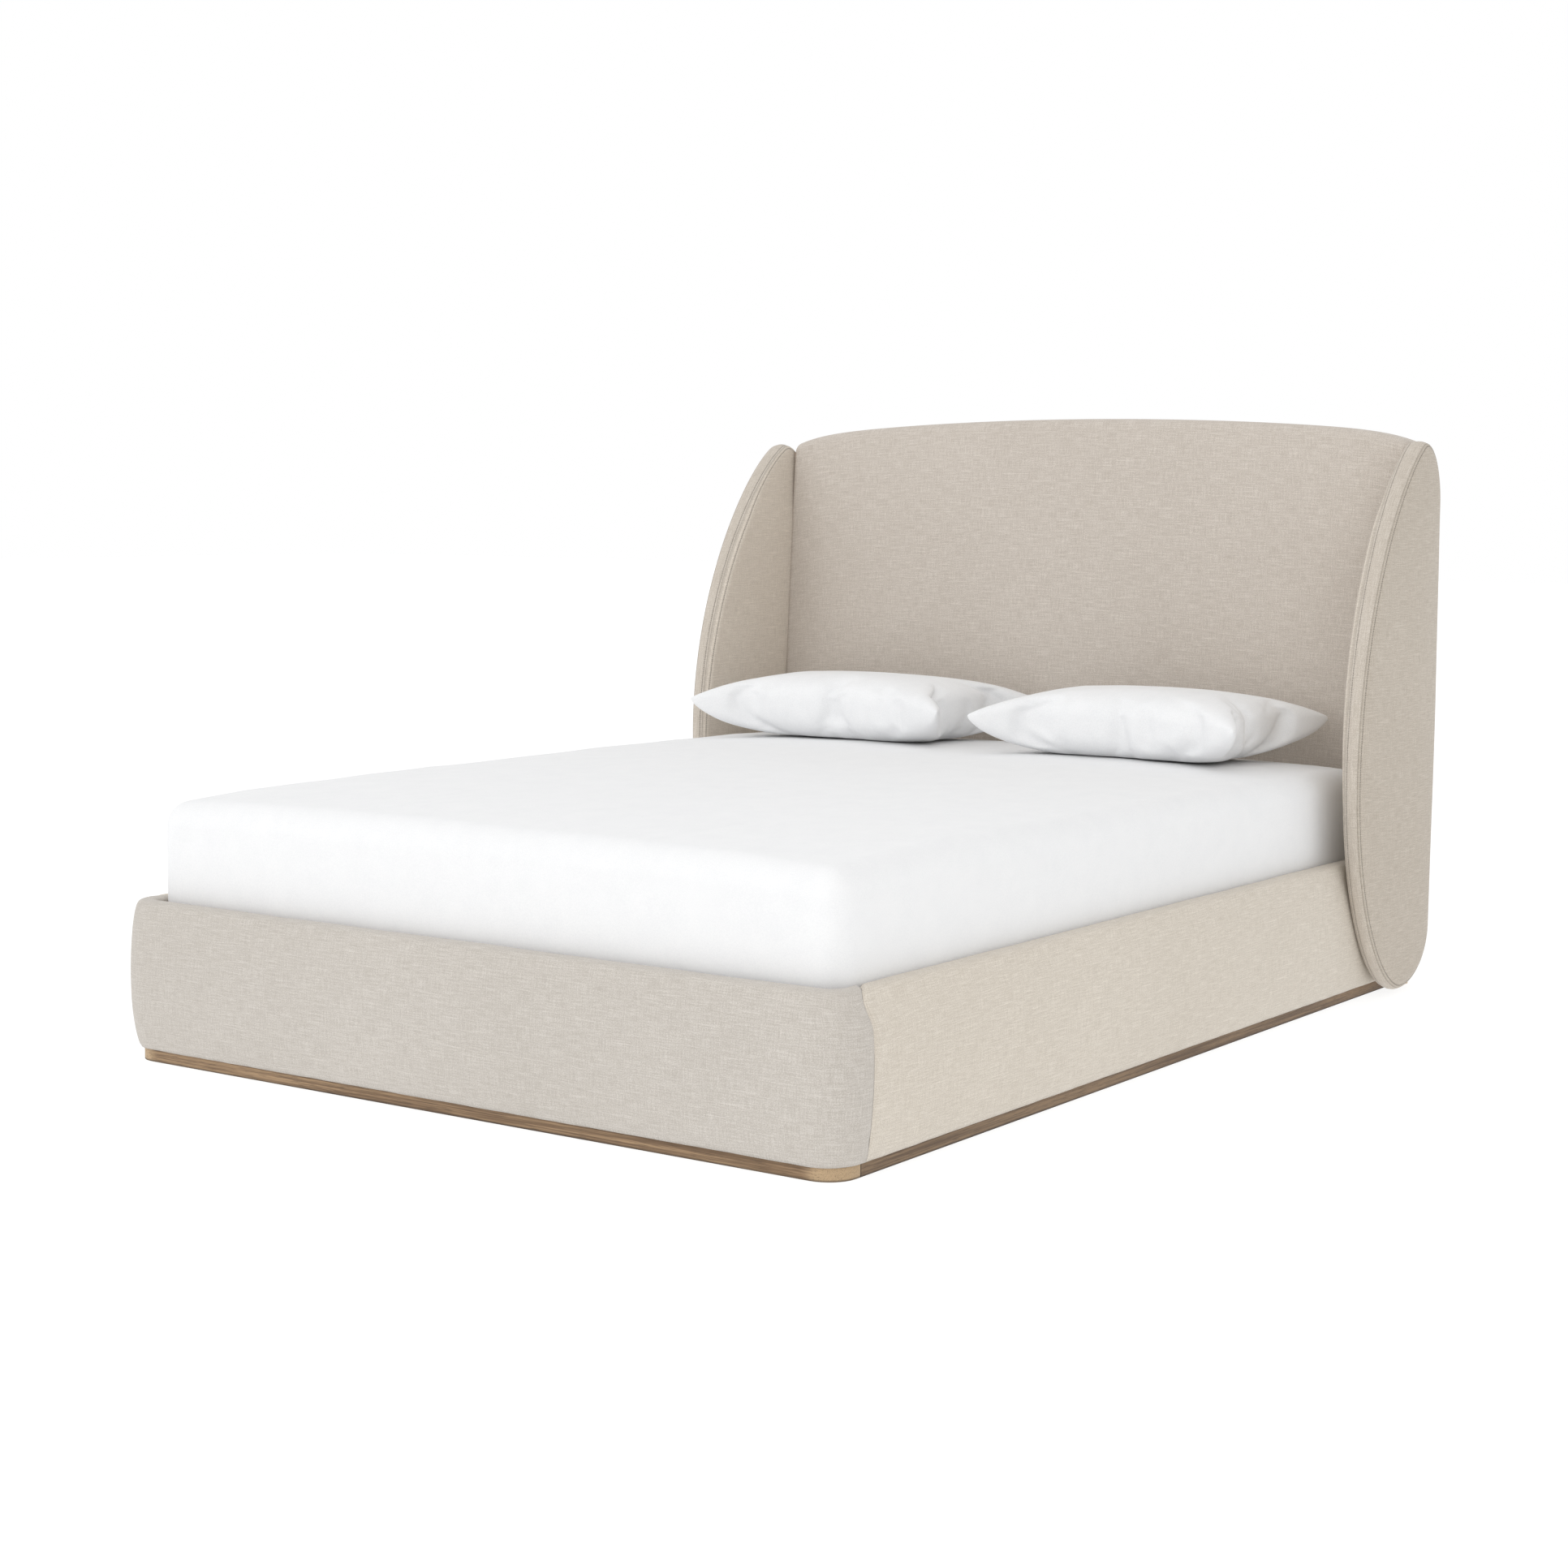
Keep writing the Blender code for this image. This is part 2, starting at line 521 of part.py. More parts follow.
size = Vector((2 * (mattress_half + SHEET_FIT), MATTRESS_LENGTH + 2 * SHEET_FIT,
               MATTRESS_THICKNESS + 2 * SHEET_FIT))
shape = bmesh.new()
bmesh.ops.create_cube(shape, size=1)
bmesh.ops.scale(shape, vec=size, verts=shape.verts)
bmesh.ops.bevel(shape, geom=shape.edges[:], offset=MATTRESS_EDGE_RADIUS + SHEET_FIT, segments=5,
                profile=0.5, affect="EDGES")
hem = -size.z / 2 + MATTRESS_EDGE_RADIUS * 0.9
bmesh.ops.bisect_plane(shape, geom=shape.verts[:] + shape.edges[:] + shape.faces[:], plane_co=(0, 0, hem),
                       plane_no=(0, 0, -1), clear_outer=True)
sheet = finish("fitted_sheet", shape, COTTON,
               (0, at((mattress_front + mattress_back) / 2), (mattress_bottom + mattress_top) / 2), True)
thick = sheet.modifiers.new("thickness", "SOLIDIFY")
thick.thickness = SHEET_THICKNESS
thick.offset = 1


def pillow(name, x):
    """A plump pillow with a thin seam all round and pointed corners."""
    cells = 14
    top = mattress_top + SHEET_FIT + SHEET_THICKNESS + TOUCH
    middle = Vector((x, at(crown_front - PILLOW_FROM_HEADBOARD - PILLOW_DEPTH / 2), top + PILLOW_HEIGHT / 2))
    shape = bmesh.new()
    bmesh.ops.create_grid(shape, x_segments=cells, y_segments=cells - 4, size=1)
    bottom = bmesh.ops.duplicate(shape, geom=shape.faces[:])["geom"]
    lower = [item for item in bottom if isinstance(item, bmesh.types.BMVert)]
    low_set = set(lower)
    for vert in shape.verts:
        u, v = vert.co.x, vert.co.y
        lift = ((1 - u ** 4) * (1 - v ** 4)) ** 0.55
        waist_x = 1 - 0.035 * (1 - v * v)
        waist_y = 1 - 0.045 * (1 - u * u)
        sign = -1 if vert in low_set else 1
        vert.co = (u * PILLOW_WIDTH / 2 * waist_x, v * PILLOW_DEPTH / 2 * waist_y,
                   sign * (0.003 + (PILLOW_HEIGHT / 2 - 0.003) * lift))
    rims = [edge for edge in shape.edges if edge.is_boundary]
    bmesh.ops.bridge_loops(shape, edges=rims)
    finish(name, shape, COTTON, middle, True)


pillow("pillow_left", -(PILLOW_WIDTH + PILLOW_GAP) / 2)
pillow("pillow_right", (PILLOW_WIDTH + PILLOW_GAP) / 2)
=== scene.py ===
import math

import bmesh
import bpy
from mathutils import Matrix, Vector, noise


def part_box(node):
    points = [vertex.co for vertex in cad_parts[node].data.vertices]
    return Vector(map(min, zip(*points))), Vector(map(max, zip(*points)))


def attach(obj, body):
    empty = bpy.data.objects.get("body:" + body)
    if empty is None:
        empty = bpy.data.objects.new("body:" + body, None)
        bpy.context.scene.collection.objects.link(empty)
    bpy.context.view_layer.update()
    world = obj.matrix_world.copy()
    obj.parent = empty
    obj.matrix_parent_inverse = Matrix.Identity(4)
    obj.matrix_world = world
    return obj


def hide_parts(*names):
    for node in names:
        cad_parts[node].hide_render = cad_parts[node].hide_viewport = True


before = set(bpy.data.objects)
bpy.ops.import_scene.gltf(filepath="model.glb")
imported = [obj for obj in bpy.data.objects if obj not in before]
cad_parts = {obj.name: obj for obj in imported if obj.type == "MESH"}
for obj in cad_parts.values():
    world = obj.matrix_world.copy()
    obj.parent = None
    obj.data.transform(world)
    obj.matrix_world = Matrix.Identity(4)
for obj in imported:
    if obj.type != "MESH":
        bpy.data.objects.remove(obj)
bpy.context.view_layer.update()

# ------------------------------------------------------------------ camera, floor and lamps
# The bed stands on pale studio paper that runs out of sight, under two broad soft lamps and an
# even white sky that is a little dimmer to the right.
# It is seen from past its right foot corner, from about the height of its pillows.
CAMERA_PLACE = (3.0612, -4.5025, 1.054)
CAMERA_TURN = 34.92
CAMERA_DIP = 6.054
CAMERA_ROLL = 0.4755
FRAME_WIDTH = 36.0
LENS = 62.45
FLOOR_SIZE = 60.0
FLOOR_TONE = 0.20
FLOOR_GLOW = 0.85
SKY_STRENGTH = 1.0
SKY_DIM_SIDE = 0.80
SKY_DIM_FROM = 0.10
SKY_DIM_UNTIL = 0.75
PAPER_ROUGHNESS = 0.9

lens = bpy.data.cameras.new("camera")
lens.sensor_width = FRAME_WIDTH
lens.lens = LENS
lens.clip_end = 200
camera = bpy.data.objects.new("camera", lens)
camera.matrix_world = (Matrix.Translation(CAMERA_PLACE)
                       @ Matrix.Rotation(math.radians(CAMERA_TURN), 4, "Z")
                       @ Matrix.Rotation(math.radians(90 - CAMERA_DIP), 4, "X")
                       @ Matrix.Rotation(math.radians(CAMERA_ROLL), 4, "Z"))
bpy.context.collection.objects.link(camera)
bpy.context.scene.camera = camera
bpy.context.scene.view_settings.view_transform = "Standard"

world = bpy.data.worlds.new("studio")
world.use_nodes = True
sky = world.node_tree.nodes
sky["Background"].inputs["Strength"].default_value = SKY_STRENGTH
facing = sky.new("ShaderNodeTexCoord")
across = sky.new("ShaderNodeSeparateXYZ")
shade = sky.new("ShaderNodeMapRange")
shade.inputs["From Min"].default_value = SKY_DIM_FROM
shade.inputs["From Max"].default_value = SKY_DIM_UNTIL
shade.inputs["To Min"].default_value = 1.0
shade.inputs["To Max"].default_value = SKY_DIM_SIDE
world.node_tree.links.new(facing.outputs["Generated"], across.inputs[0])
world.node_tree.links.new(across.outputs["X"], shade.inputs["Value"])
world.node_tree.links.new(shade.outputs[0], sky["Background"].inputs["Color"])
bpy.context.scene.world = world


def lamp(name, place, aim, size, power, colour):
    """A large soft panel light turned to face a point."""
    panel = bpy.data.lights.new(name, "AREA")
    panel.shape = "RECTANGLE"
    panel.size, panel.size_y = size
    panel.energy = power
    panel.color = colour
    held = bpy.data.objects.new(name, panel)
    held.location = place
    held.rotation_euler = (Vector(aim) - Vector(place)).to_track_quat("-Z", "Y").to_euler()
    bpy.context.collection.objects.link(held)


lamp("front_lamp", place=(-2.6, -5.2, 2.8), aim=(0, -0.6, 0.4), size=(3.5, 2.5), power=42,
     colour=(0.99, 0.995, 1.0))
lamp("side_lamp", place=(4.0, -3.6, 2.4), aim=(0.6, -0.4, 0.4), size=(2.6, 2.0), power=34,
     colour=(1.0, 0.985, 0.96))


def as_object(name, shape, smooth=True):
    """Turns a finished bmesh into an object that sits at the origin."""
    mesh = bpy.data.meshes.new(name)
    shape.to_mesh(mesh)
    shape.free()
    mesh.polygons.foreach_set("use_smooth", [smooth] * len(mesh.polygons))
    made = bpy.data.objects.new(name, mesh)
    bpy.context.collection.objects.link(made)
    return made


shape = bmesh.new()
bmesh.ops.create_grid(shape, x_segments=1, y_segments=1, size=FLOOR_SIZE / 2)
floor = as_object("studio_floor", shape, smooth=False)
paper = bpy.data.materials.new("studio_paper")
paper.use_nodes = True
surface = paper.node_tree.nodes["Principled BSDF"].inputs
surface["Base Color"].default_value = (FLOOR_TONE, FLOOR_TONE, FLOOR_TONE, 1)
surface["Roughness"].default_value = PAPER_ROUGHNESS
surface["Emission Color"].default_value = (1, 1, 1, 1)
surface["Emission Strength"].default_value = FLOOR_GLOW
floor.data.materials.append(paper)

# ------------------------------------------------------------------ padded headboard front
# Foam on a plywood panel, under one piece of slubby linen-look cloth. The cloth is pulled over
# the shallow arched top and round the sides and stapled behind, so its edges are soft.
ARCH_FALL = 0.035
ARCH_CORNER_FALL = 0.021
HEADBOARD_CROWN = 0.013
HEADBOARD_CAP = 0.016
RECLINE = 0.026
RECLINE_AT_CROWN = 0.0091
WING_LEAN = 0.016
LEAN_FROM = 0.50
CROWN_REACH = 0.28
SIDE_ROLL = 0.014
TOP_ROLL = 0.024
REAR_ROLL = 0.006
PAD_BEHIND_PANEL = 0.0005
PAD_UNEVEN = 0.0011
PAD_UNEVEN_SIZE = 0.23
HEADBOARD_COLUMNS = 120
HEADBOARD_ROWS = 70
TOP_ROLL_POINTS = 10
HEADBOARD_MIDDLE = 40
WEFT_GRAIN = (26, 480)
WARP_GRAIN = (460, 34)
GRIT_GRAIN = (520, 520)
SLUB_GRAIN = (13, 300)
PATCH_GRAIN = (2.2, 2.2)
STITCH_LENGTH = 0.005
STITCH_ROW = (0.0013, 0.0006)
LINEN_LIGHT = (0.665, 0.608, 0.547)
LINEN_DARK = (0.472, 0.418, 0.364)


class Strand:
    """One socket of a material, so that a weave or a grain is written as plain sums."""

    def __init__(self, tree, socket=None):
        self.tree = tree
        self.socket = socket

    def node(self, kind, inputs, out=0, **settings):
        """Adds a node: its settings first, then its values and links. Gives one output."""
        made = self.tree.nodes.new("ShaderNode" + kind)
        for key, value in settings.items():
            setattr(made, key, value)
        for key, value in inputs.items():
            if isinstance(value, Strand):
                self.tree.links.new(value.socket, made.inputs[key])
            else:
                made.inputs[key].default_value = value
        return Strand(self.tree, made.outputs[out])

    def sum(self, operation, *values):
        """One step of arithmetic on any number of values."""
        return self.node("Math", dict(enumerate(values)), operation=operation)

    def once(self, operation):
        """One step of arithmetic on this value alone."""
        return self.sum(operation, self)

    def __add__(self, other):
        return self.sum("ADD", self, other)

    def __radd__(self, other):
        return self.sum("ADD", other, self)

    def __sub__(self, other):
        return self.sum("SUBTRACT", self, other)

    def __rsub__(self, other):
        return self.sum("SUBTRACT", other, self)

    def __mul__(self, other):
        return self.sum("MULTIPLY", self, other)

    def __rmul__(self, other):
        return self.sum("MULTIPLY", other, self)

    def step(self, low, high):
        """0 up to low, 1 from high, and a smooth rise between them."""
        return self.node("MapRange", {"Value": self, "From Min": low, "From Max": high},
                         interpolation_type="SMOOTHSTEP")

    def times(self, x, y, z=1.0):
        """Coordinates multiplied along each axis."""
        return self.node("VectorMath", {0: self, 1: (x, y, z)}, operation="MULTIPLY")

    def cloud(self, scale=1.0, detail=2.0, rough=0.5):
        return self.node("TexNoise", {"Vector": self, "Scale": scale, "Detail": detail,
                                      "Roughness": rough})

    def part(self, axis):
        return self.node("SeparateXYZ", {0: self}, out=axis)

    def tint(self, first, second):
        """A colour between two others, by this value."""
        ends = [c if isinstance(c, Strand) else (*c, 1) for c in (first, second)]
        return self.node("Mix", {0: self, 6: ends[0], 7: ends[1]}, out=2, data_type="RGBA",
                         clamp_factor=True)

    def bump(self, distance, strength):
        return self.node("Bump", {"Height": self, "Distance": distance, "Strength": strength})

    def to(self, socket):
        self.tree.links.new(self.socket, socket)


def new_material(name, roughness, metallic=0.0, sheen=0.0):
    """A material, a loose strand to start its nodes from, and its shader's sockets."""
    made = bpy.data.materials.new(name)
    made.use_nodes = True
    skin = made.node_tree.nodes["Principled BSDF"].inputs
    skin["Roughness"].default_value = roughness
    skin["Metallic"].default_value = metallic
    skin["Sheen Weight"].default_value = sheen
    skin["Sheen Roughness"].default_value = 0.5
    return made, Strand(made.node_tree), skin


def linen(name, light, dark, stitches=None):
    """Slubby plain weave that follows the cloth's own map in metres, with loose rows of stitches
    at the distances from a seam that are given. The stitch rows, their needle holes and the
    crease at the seam are painted darker, as painted shade."""
    made, start, skin = new_material(name, 0.9, sheen=0.12)
    cloth = start.node("TexCoord", {}, out="UV")
    weft = cloth.times(*WEFT_GRAIN).cloud(detail=2, rough=0.6)
    warp = cloth.times(*WARP_GRAIN).cloud(detail=2, rough=0.6)
    grit = cloth.times(*GRIT_GRAIN).cloud(detail=1, rough=0.6)
    slub = cloth.times(*SLUB_GRAIN).cloud(detail=0).step(0.62, 0.80)
    patch = cloth.times(*PATCH_GRAIN).cloud(detail=2, rough=0.6)
    shade = weft * 0.26 + warp * 0.22 + grit * 0.40 + slub * 0.045 + patch * 0.06
    colour = shade.step(0.37, 0.61).tint(dark, light)
    relief = weft * 0.5 + warp * 0.4 + grit * 0.5
    if stitches:
        seam = start.node("UVMap", {}, uv_map="seam")
        along, off = seam.part("X"), seam.part("Y")
        thread = ((along * (1 / STITCH_LENGTH)).once("FRACT") - 0.5).once("ABSOLUTE").step(0.42, 0.32)
        row = None
        for place in stitches:
            line = (off - place).once("ABSOLUTE").step(*STITCH_ROW)
            row = line if row is None else row + line
        hole = row * (1 - thread)
        crease = off.step(0.0020, 0.0004)
        # Painted shade: the stitch rows, the needle holes between stitches and the crease along the seam
        # are darkened towards the linen's dark colour.
        colour = (row * 0.40 + hole * 0.5 + crease * 0.35).tint(colour, tuple(c * 0.42 for c in dark))
        relief = relief + row * thread * 0.8 - hole * 2.5 - crease
    colour.to(skin["Base Color"])
    (0.97 - weft * 0.14).to(skin["Roughness"])
    relief.bump(0.0006, 0.75).to(skin["Normal"])
    return made


def laid(name, strips, middle=0, spot=None, seam=None):
    """Cloth laid over rows of points and closed up into one skin. Its first map says, in metres,
    where each point is on the cloth; a second one may say how far it is from a seam."""
    columns, rows = len(strips) - 1, len(strips[0]) - 1
    along, across = [0.0], []
    for before, after in zip(strips, strips[1:]):
        along.append(along[-1] + (after[middle] - before[middle]).length)
    for strip in strips:
        run = [0.0]
        for before, after in zip(strip, strip[1:]):
            run.append(run[-1] + (after - before).length)
        across.append([length - run[middle] for length in run])
    shape = bmesh.new()
    bmesh.ops.create_grid(shape, x_segments=columns, y_segments=rows, size=1)
    cloth = shape.loops.layers.uv.new("cloth")
    near = shape.loops.layers.uv.new("seam") if seam else None
    for face in shape.faces:
        for loop in face.loops:
            column = round((loop.vert.co.x + 1) / 2 * columns)
            row = round((loop.vert.co.y + 1) / 2 * rows)
            point = strips[column][row]
            loop[cloth].uv = spot(point) if spot else (along[column], across[column][row])
            if seam:
                loop[near].uv = seam[column][row]
    for vert in shape.verts:
        column = round((vert.co.x + 1) / 2 * columns)
        row = round((vert.co.y + 1) / 2 * rows)
        vert.co = strips[column][row]
    bmesh.ops.remove_doubles(shape, verts=shape.verts, dist=2e-5)
    bmesh.ops.dissolve_degenerate(shape, edges=shape.edges, dist=2e-5)
    open_edges = [edge for edge in shape.edges if edge.is_boundary]
    bmesh.ops.holes_fill(shape, edges=open_edges, sides=0)
    bmesh.ops.recalc_face_normals(shape, faces=shape.faces)
    return as_object(name, shape)


def arc(centre, radius, start, end, steps):
    """Points on part of a circle, as pairs."""
    turns = [math.radians(start + (end - start) * i / steps) for i in range(steps + 1)]
    return [(centre[0] + radius * math.cos(t), centre[1] + radius * math.sin(t)) for t in turns]


def ease(share):
    """0 to 1, rising fast and then levelling off."""
    share = min(max(share, 0.0), 1.0)
    return 1 - (1 - share) ** 2


def swell(x, y, z, size, seed=0.0):
    """A slow unevenness of padding, from -1 to 1."""
    return noise.noise(Vector((x / size + seed, y / size, z / size)))


pad_low, pad_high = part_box("headboard_pad")
panel_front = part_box("headboard_panel")[0].y
half = pad_high.x
flat_front = pad_low.y + HEADBOARD_CROWN - RECLINE_AT_CROWN


def arch(x):
    """Height of the headboard's top edge."""
    share = min(abs(x) / half, 1.0)
    return pad_high.z - ARCH_FALL * share ** 2 - ARCH_CORNER_FALL * share ** 12


def lean(z):
    """How far the sides draw in towards the middle of the bed, more and more up to the top."""
    return WING_LEAN * max((z - LEAN_FROM) / (pad_high.z - LEAN_FROM), 0) ** 1.4


def headboard_face(x, z):
    """How far forward the padding stands at a place on the front."""
    from_side = half - abs(x)
    crown = ease(from_side / CROWN_REACH) * ease((arch(x) - z) / CROWN_REACH)
    y = flat_front - HEADBOARD_CROWN * crown + RECLINE * (z - pad_low.z) / (pad_high.z - pad_low.z)
    if from_side < SIDE_ROLL:
        y += SIDE_ROLL - math.sqrt(max(SIDE_ROLL ** 2 - (SIDE_ROLL - from_side) ** 2, 0))
    return y + PAD_UNEVEN * swell(x, 0, z, PAD_UNEVEN_SIZE)


strips = []
for i in range(HEADBOARD_COLUMNS + 1):
    t = -1 + 2 * i / HEADBOARD_COLUMNS
    x = half * t * (1.5 - 0.5 * t * t)
    top = arch(x)
    low = pad_low.z
    column = [(headboard_face(x, z), z) for z in
              (low + (top - TOP_ROLL - low) * k / HEADBOARD_ROWS for k in range(HEADBOARD_ROWS + 1))]
    front = column[-1][0]
    column += arc((front + TOP_ROLL, top - TOP_ROLL), TOP_ROLL, 180, 90, TOP_ROLL_POINTS)[1:]
    column += [(front + (pad_high.y - front) * k / 8, top) for k in (4, 5, 6, 7)]
    column += arc((pad_high.y - REAR_ROLL, top - REAR_ROLL), REAR_ROLL, 90, 0, 5)
    column += [(pad_high.y, top - HEADBOARD_CAP), (panel_front - PAD_BEHIND_PANEL, top - HEADBOARD_CAP),
               (panel_front - PAD_BEHIND_PANEL, low), column[0]]
    strips.append([Vector((x * (1 - lean(z) / half), y, z)) for y, z in column])
headboard = laid("headboard_linen_pad", strips, middle=HEADBOARD_MIDDLE)
headboard_linen = linen("headboard_linen", LINEN_LIGHT, LINEN_DARK)
headboard.data.materials.append(headboard_linen)
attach(headboard, "bed_frame")
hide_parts("headboard_pad")

# ------------------------------------------------------------------ cloth across the headboard's back
# A thin dark dust cloth pulled flat over the back of the timber frame. Its edges are turned under
# and held with rows of staples.
DUST_THICKNESS = 0.0012
DUST_SAG = 0.0012
DUST_INSET = 0.0008
DUST_HEM = 0.018
DUST_HEM_LIFT = 0.0007
DUST_COLUMNS = 60
DUST_ROWS = 48
DUST_DARK = (0.018, 0.018, 0.019)
DUST_LIGHT = (0.060, 0.059, 0.058)
STAPLE_STEP = 0.062
STAPLE_INSET = 0.010
STAPLE_WIDTH = 0.011
STAPLE_WIRE = 0.0007
STAPLE_TILT = 8
STAPLE_SHORT_OF_ENDS = 0.06
STAPLE_BRIGHT = (0.62, 0.62, 0.63)
STAPLE_DARK = (0.30, 0.30, 0.31)

back_low, back_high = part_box("headboard_back_cover")
strips = []
for i in range(DUST_COLUMNS + 1):
    x = back_low.x + (back_high.x - back_low.x) * i / DUST_COLUMNS
    top = arch(x) - (pad_high.z - back_high.z)
    row = []
    for k in range(DUST_ROWS + 1):
        z = back_low.z + (top - back_low.z) * k / DUST_ROWS
        edge = min(back_high.x - abs(x), z - back_low.z, top - z)
        hem = DUST_HEM_LIFT if edge < DUST_HEM else 0.0
        sag = DUST_SAG * (0.5 + 0.5 * swell(x, 1, z, 0.3)) * ease((edge - DUST_HEM) / 0.15)
        row.append(Vector((x, back_high.y - DUST_INSET + hem - sag, z)))
    strips.append([*row, *(point + Vector((0, -DUST_THICKNESS, 0)) for point in reversed(row)), row[0]])
dust_cloth = laid("headboard_dust_cloth", strips)
dust, start, skin = new_material("dust_cloth", 0.95)
cloth = start.node("TexCoord", {}, out="Object")
web = cloth.cloud(420, 3, 0.7)
bond = start.node("TexVoronoi", {"Vector": cloth, "Scale": 330.0})
tone = web * 0.7 + cloth.cloud(6, 2, 0.5) * 0.5
tone.step(0.35, 0.8).tint(DUST_DARK, DUST_LIGHT).to(skin["Base Color"])
(0.86 + web * 0.16).to(skin["Roughness"])
(web + bond).bump(0.0004, 0.6).to(skin["Normal"])
dust_cloth.data.materials.append(dust)
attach(dust_cloth, "bed_frame")
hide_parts("headboard_back_cover")


def steel(name, dark, bright, roughness):
    """Rolled steel with faint streaks and rubbed patches."""
    made, start, skin = new_material(name, roughness, metallic=1.0)
    place = start.node("TexCoord", {}, out="Object")
    streak = place.times(40, 40, 600).cloud(detail=3)
    rub = place.cloud(35, 4, 0.6)
    (streak * 0.5 + rub * 0.6).step(0.35, 0.8).tint(dark, bright).to(skin["Base Color"])
    (roughness - 0.1 + rub * 0.3).to(skin["Roughness"])
    (streak + rub).bump(0.0002, 0.3).to(skin["Normal"])
    return made


def staple_row(name, places):
    """Wire staples pressed flat into the cloth, one at each (x, z, turn)."""
    shape = bmesh.new()
    for x, z, turn in places:
        bar = bmesh.ops.create_cube(shape, size=1)["verts"]
        bmesh.ops.scale(shape, verts=bar, vec=(STAPLE_WIDTH, STAPLE_WIRE, STAPLE_WIRE * 1.6))
        bmesh.ops.rotate(shape, verts=bar, matrix=Matrix.Rotation(turn, 3, "Y"))
        bmesh.ops.translate(shape, verts=bar, vec=(x, back_high.y + STAPLE_WIRE * 0.3, z))
    bmesh.ops.bevel(shape, geom=shape.edges[:], offset=STAPLE_WIRE * 0.3, segments=1, profile=0.5,
                    affect="EDGES", material=-1)
    return as_object(name, shape)


places = []
inner = back_high.x - STAPLE_INSET
count = round(2 * inner / STAPLE_STEP)
for i in range(count + 1):
    x = -inner + 2 * inner * i / count
    tilt = math.radians(STAPLE_TILT) * swell(x, 0, 0, 0.05)
    places.append((x, arch(x) - (pad_high.z - back_high.z) - STAPLE_INSET, tilt))
    places.append((x, back_low.z + STAPLE_INSET, -tilt))
count = round((back_high.z - back_low.z) / STAPLE_STEP) - 1
for i in range(1, count):
    z = back_low.z + STAPLE_INSET + (back_high.z - back_low.z - STAPLE_SHORT_OF_ENDS) * i / count
    for side in (-1, 1):
        tilt = math.radians(90 + (STAPLE_TILT - 1) * swell(z, side, 0, 0.05))
        places.append((side * inner, z, tilt))
staples = staple_row("headboard_staples", places)
staples.data.materials.append(steel("staple_wire", STAPLE_DARK, STAPLE_BRIGHT, 0.35))
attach(staples, "bed_frame")

# ------------------------------------------------------------------ wings
# Each wing is a leaf-shaped plywood board with a thin pad inside, a fuller pad outside, and a
# boxing band sewn between them round its edge. A row of topstitching runs beside each seam.
WING_TIP = 1.180
WING_BOTTOM = 0.011
WING_WAIST = 0.490
WING_DEPTH = 0.411
WING_TIP_BACK = 0.085
WING_TIP_DROP = 0.135
WING_HEEL_BACK = 0.150
WING_HEEL_RISE = 0.125
BAND_UNDER = 0.001
BAND_BEHIND = 0.0015
BOARD_LINE = 0.0055
SEAM_INSET = 0.0042
INNER_SEAM = 0.0060
OUTER_SEAM = 0.0335
INNER_ROLL = 0.016
OUTER_ROLL = 0.028
OUTER_CROWN = 0.010
CROWN_SPREAD = 3.2
OUTER_SEAM_LEAN = 0.4
OUTER_FACE_LEAN = 0.3
SEAM_PROUD = 0.0012
LEAF_UNEVEN = 0.0008
STITCH_OFF = 0.006
STITCH_DENT = 0.0010
STITCH_SPREAD = 0.0013
NEAR_EDGE = (0.0, 0.0005, 0.0013, 0.0024, 0.0036, 0.0048, 0.006, 0.0072, 0.0088, 0.011, 0.014,
             0.017, 0.021)
ACROSS_LEAF = (0.03, 0.07, 0.12, 0.18, 0.25, 0.33, 0.42, 0.52, 0.63, 0.74, 0.86, 1.0)
HUB_BACK = 0.45
HUB_UP = 0.47
FRONT_BULGE = 0.64
HEEL_BULGE = 0.85
BAND_POINTS = 32
POINTS_ROUND = (40, 80, 60, 40, 40)
POINTS_EVEN = 220
INNER_PUFF = 0.009
INNER_PUFF_LOW = (0.42, 0.77)
INNER_PUFF_HIGH = (1.00, 1.16)
# The inner pads, outer pads and bands are one linen, in tones set surface by surface. The inner pads' tones
# are painted much lighter, painted light to make up for the shade on the wings' inner faces; the outer
# pads' and bands' tones also carry some painted light and shade.
WING_LIGHT = (0.610, 0.550, 0.475)
WING_DARK = (0.425, 0.372, 0.308)
LINING_LIGHT_PAINTED_LIGHTER = (0.760, 0.690, 0.600)
LINING_DARK_PAINTED_LIGHTER = (0.560, 0.495, 0.420)
BAND_LIGHT = (0.660, 0.602, 0.530)
BAND_DARK = (0.470, 0.415, 0.352)

wing_back = max(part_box(f"wing_{layer}_right")[1].y for layer in ("band", "board"))


def quarter(centre, reach, rise, start, bulge, steps):
    """A quarter of a rounded curve from one axis to the next; bulge 1 is an ellipse."""
    points = []
    for i in range(steps):
        turn = math.radians(start + 90 * i / steps)
        c, s = math.cos(turn), math.sin(turn)
        points.append((centre[0] + reach * math.copysign(abs(c) ** (1 / bulge), c),
                       centre[1] + rise * s))
    return points


def rough_leaf(inset):
    """Side view of a wing as (y, z) points round it, drawn in by the inset except at its back."""
    front = wing_back - WING_DEPTH + inset
    top, low = WING_TIP - inset, WING_BOTTOM + inset
    tip, heel = wing_back - WING_TIP_BACK, wing_back - WING_HEEL_BACK
    a, b, c, d, e = POINTS_ROUND
    points = quarter((tip, WING_TIP - WING_TIP_DROP), wing_back - tip,
                     top - WING_TIP + WING_TIP_DROP, 0, 1, a)
    points += quarter((tip, WING_WAIST), tip - front, top - WING_WAIST, 90, FRONT_BULGE, b)
    points += quarter((heel, WING_WAIST), heel - front, WING_WAIST - low, 180, HEEL_BULGE, c)
    points += quarter((heel, WING_BOTTOM + WING_HEEL_RISE), wing_back - heel,
                      WING_HEEL_RISE - inset, 270, 1, d)
    rear_low, rear_high = WING_BOTTOM + WING_HEEL_RISE, WING_TIP - WING_TIP_DROP
    points += [(wing_back, rear_low + (rear_high - rear_low) * i / e) for i in range(e)]
    return points


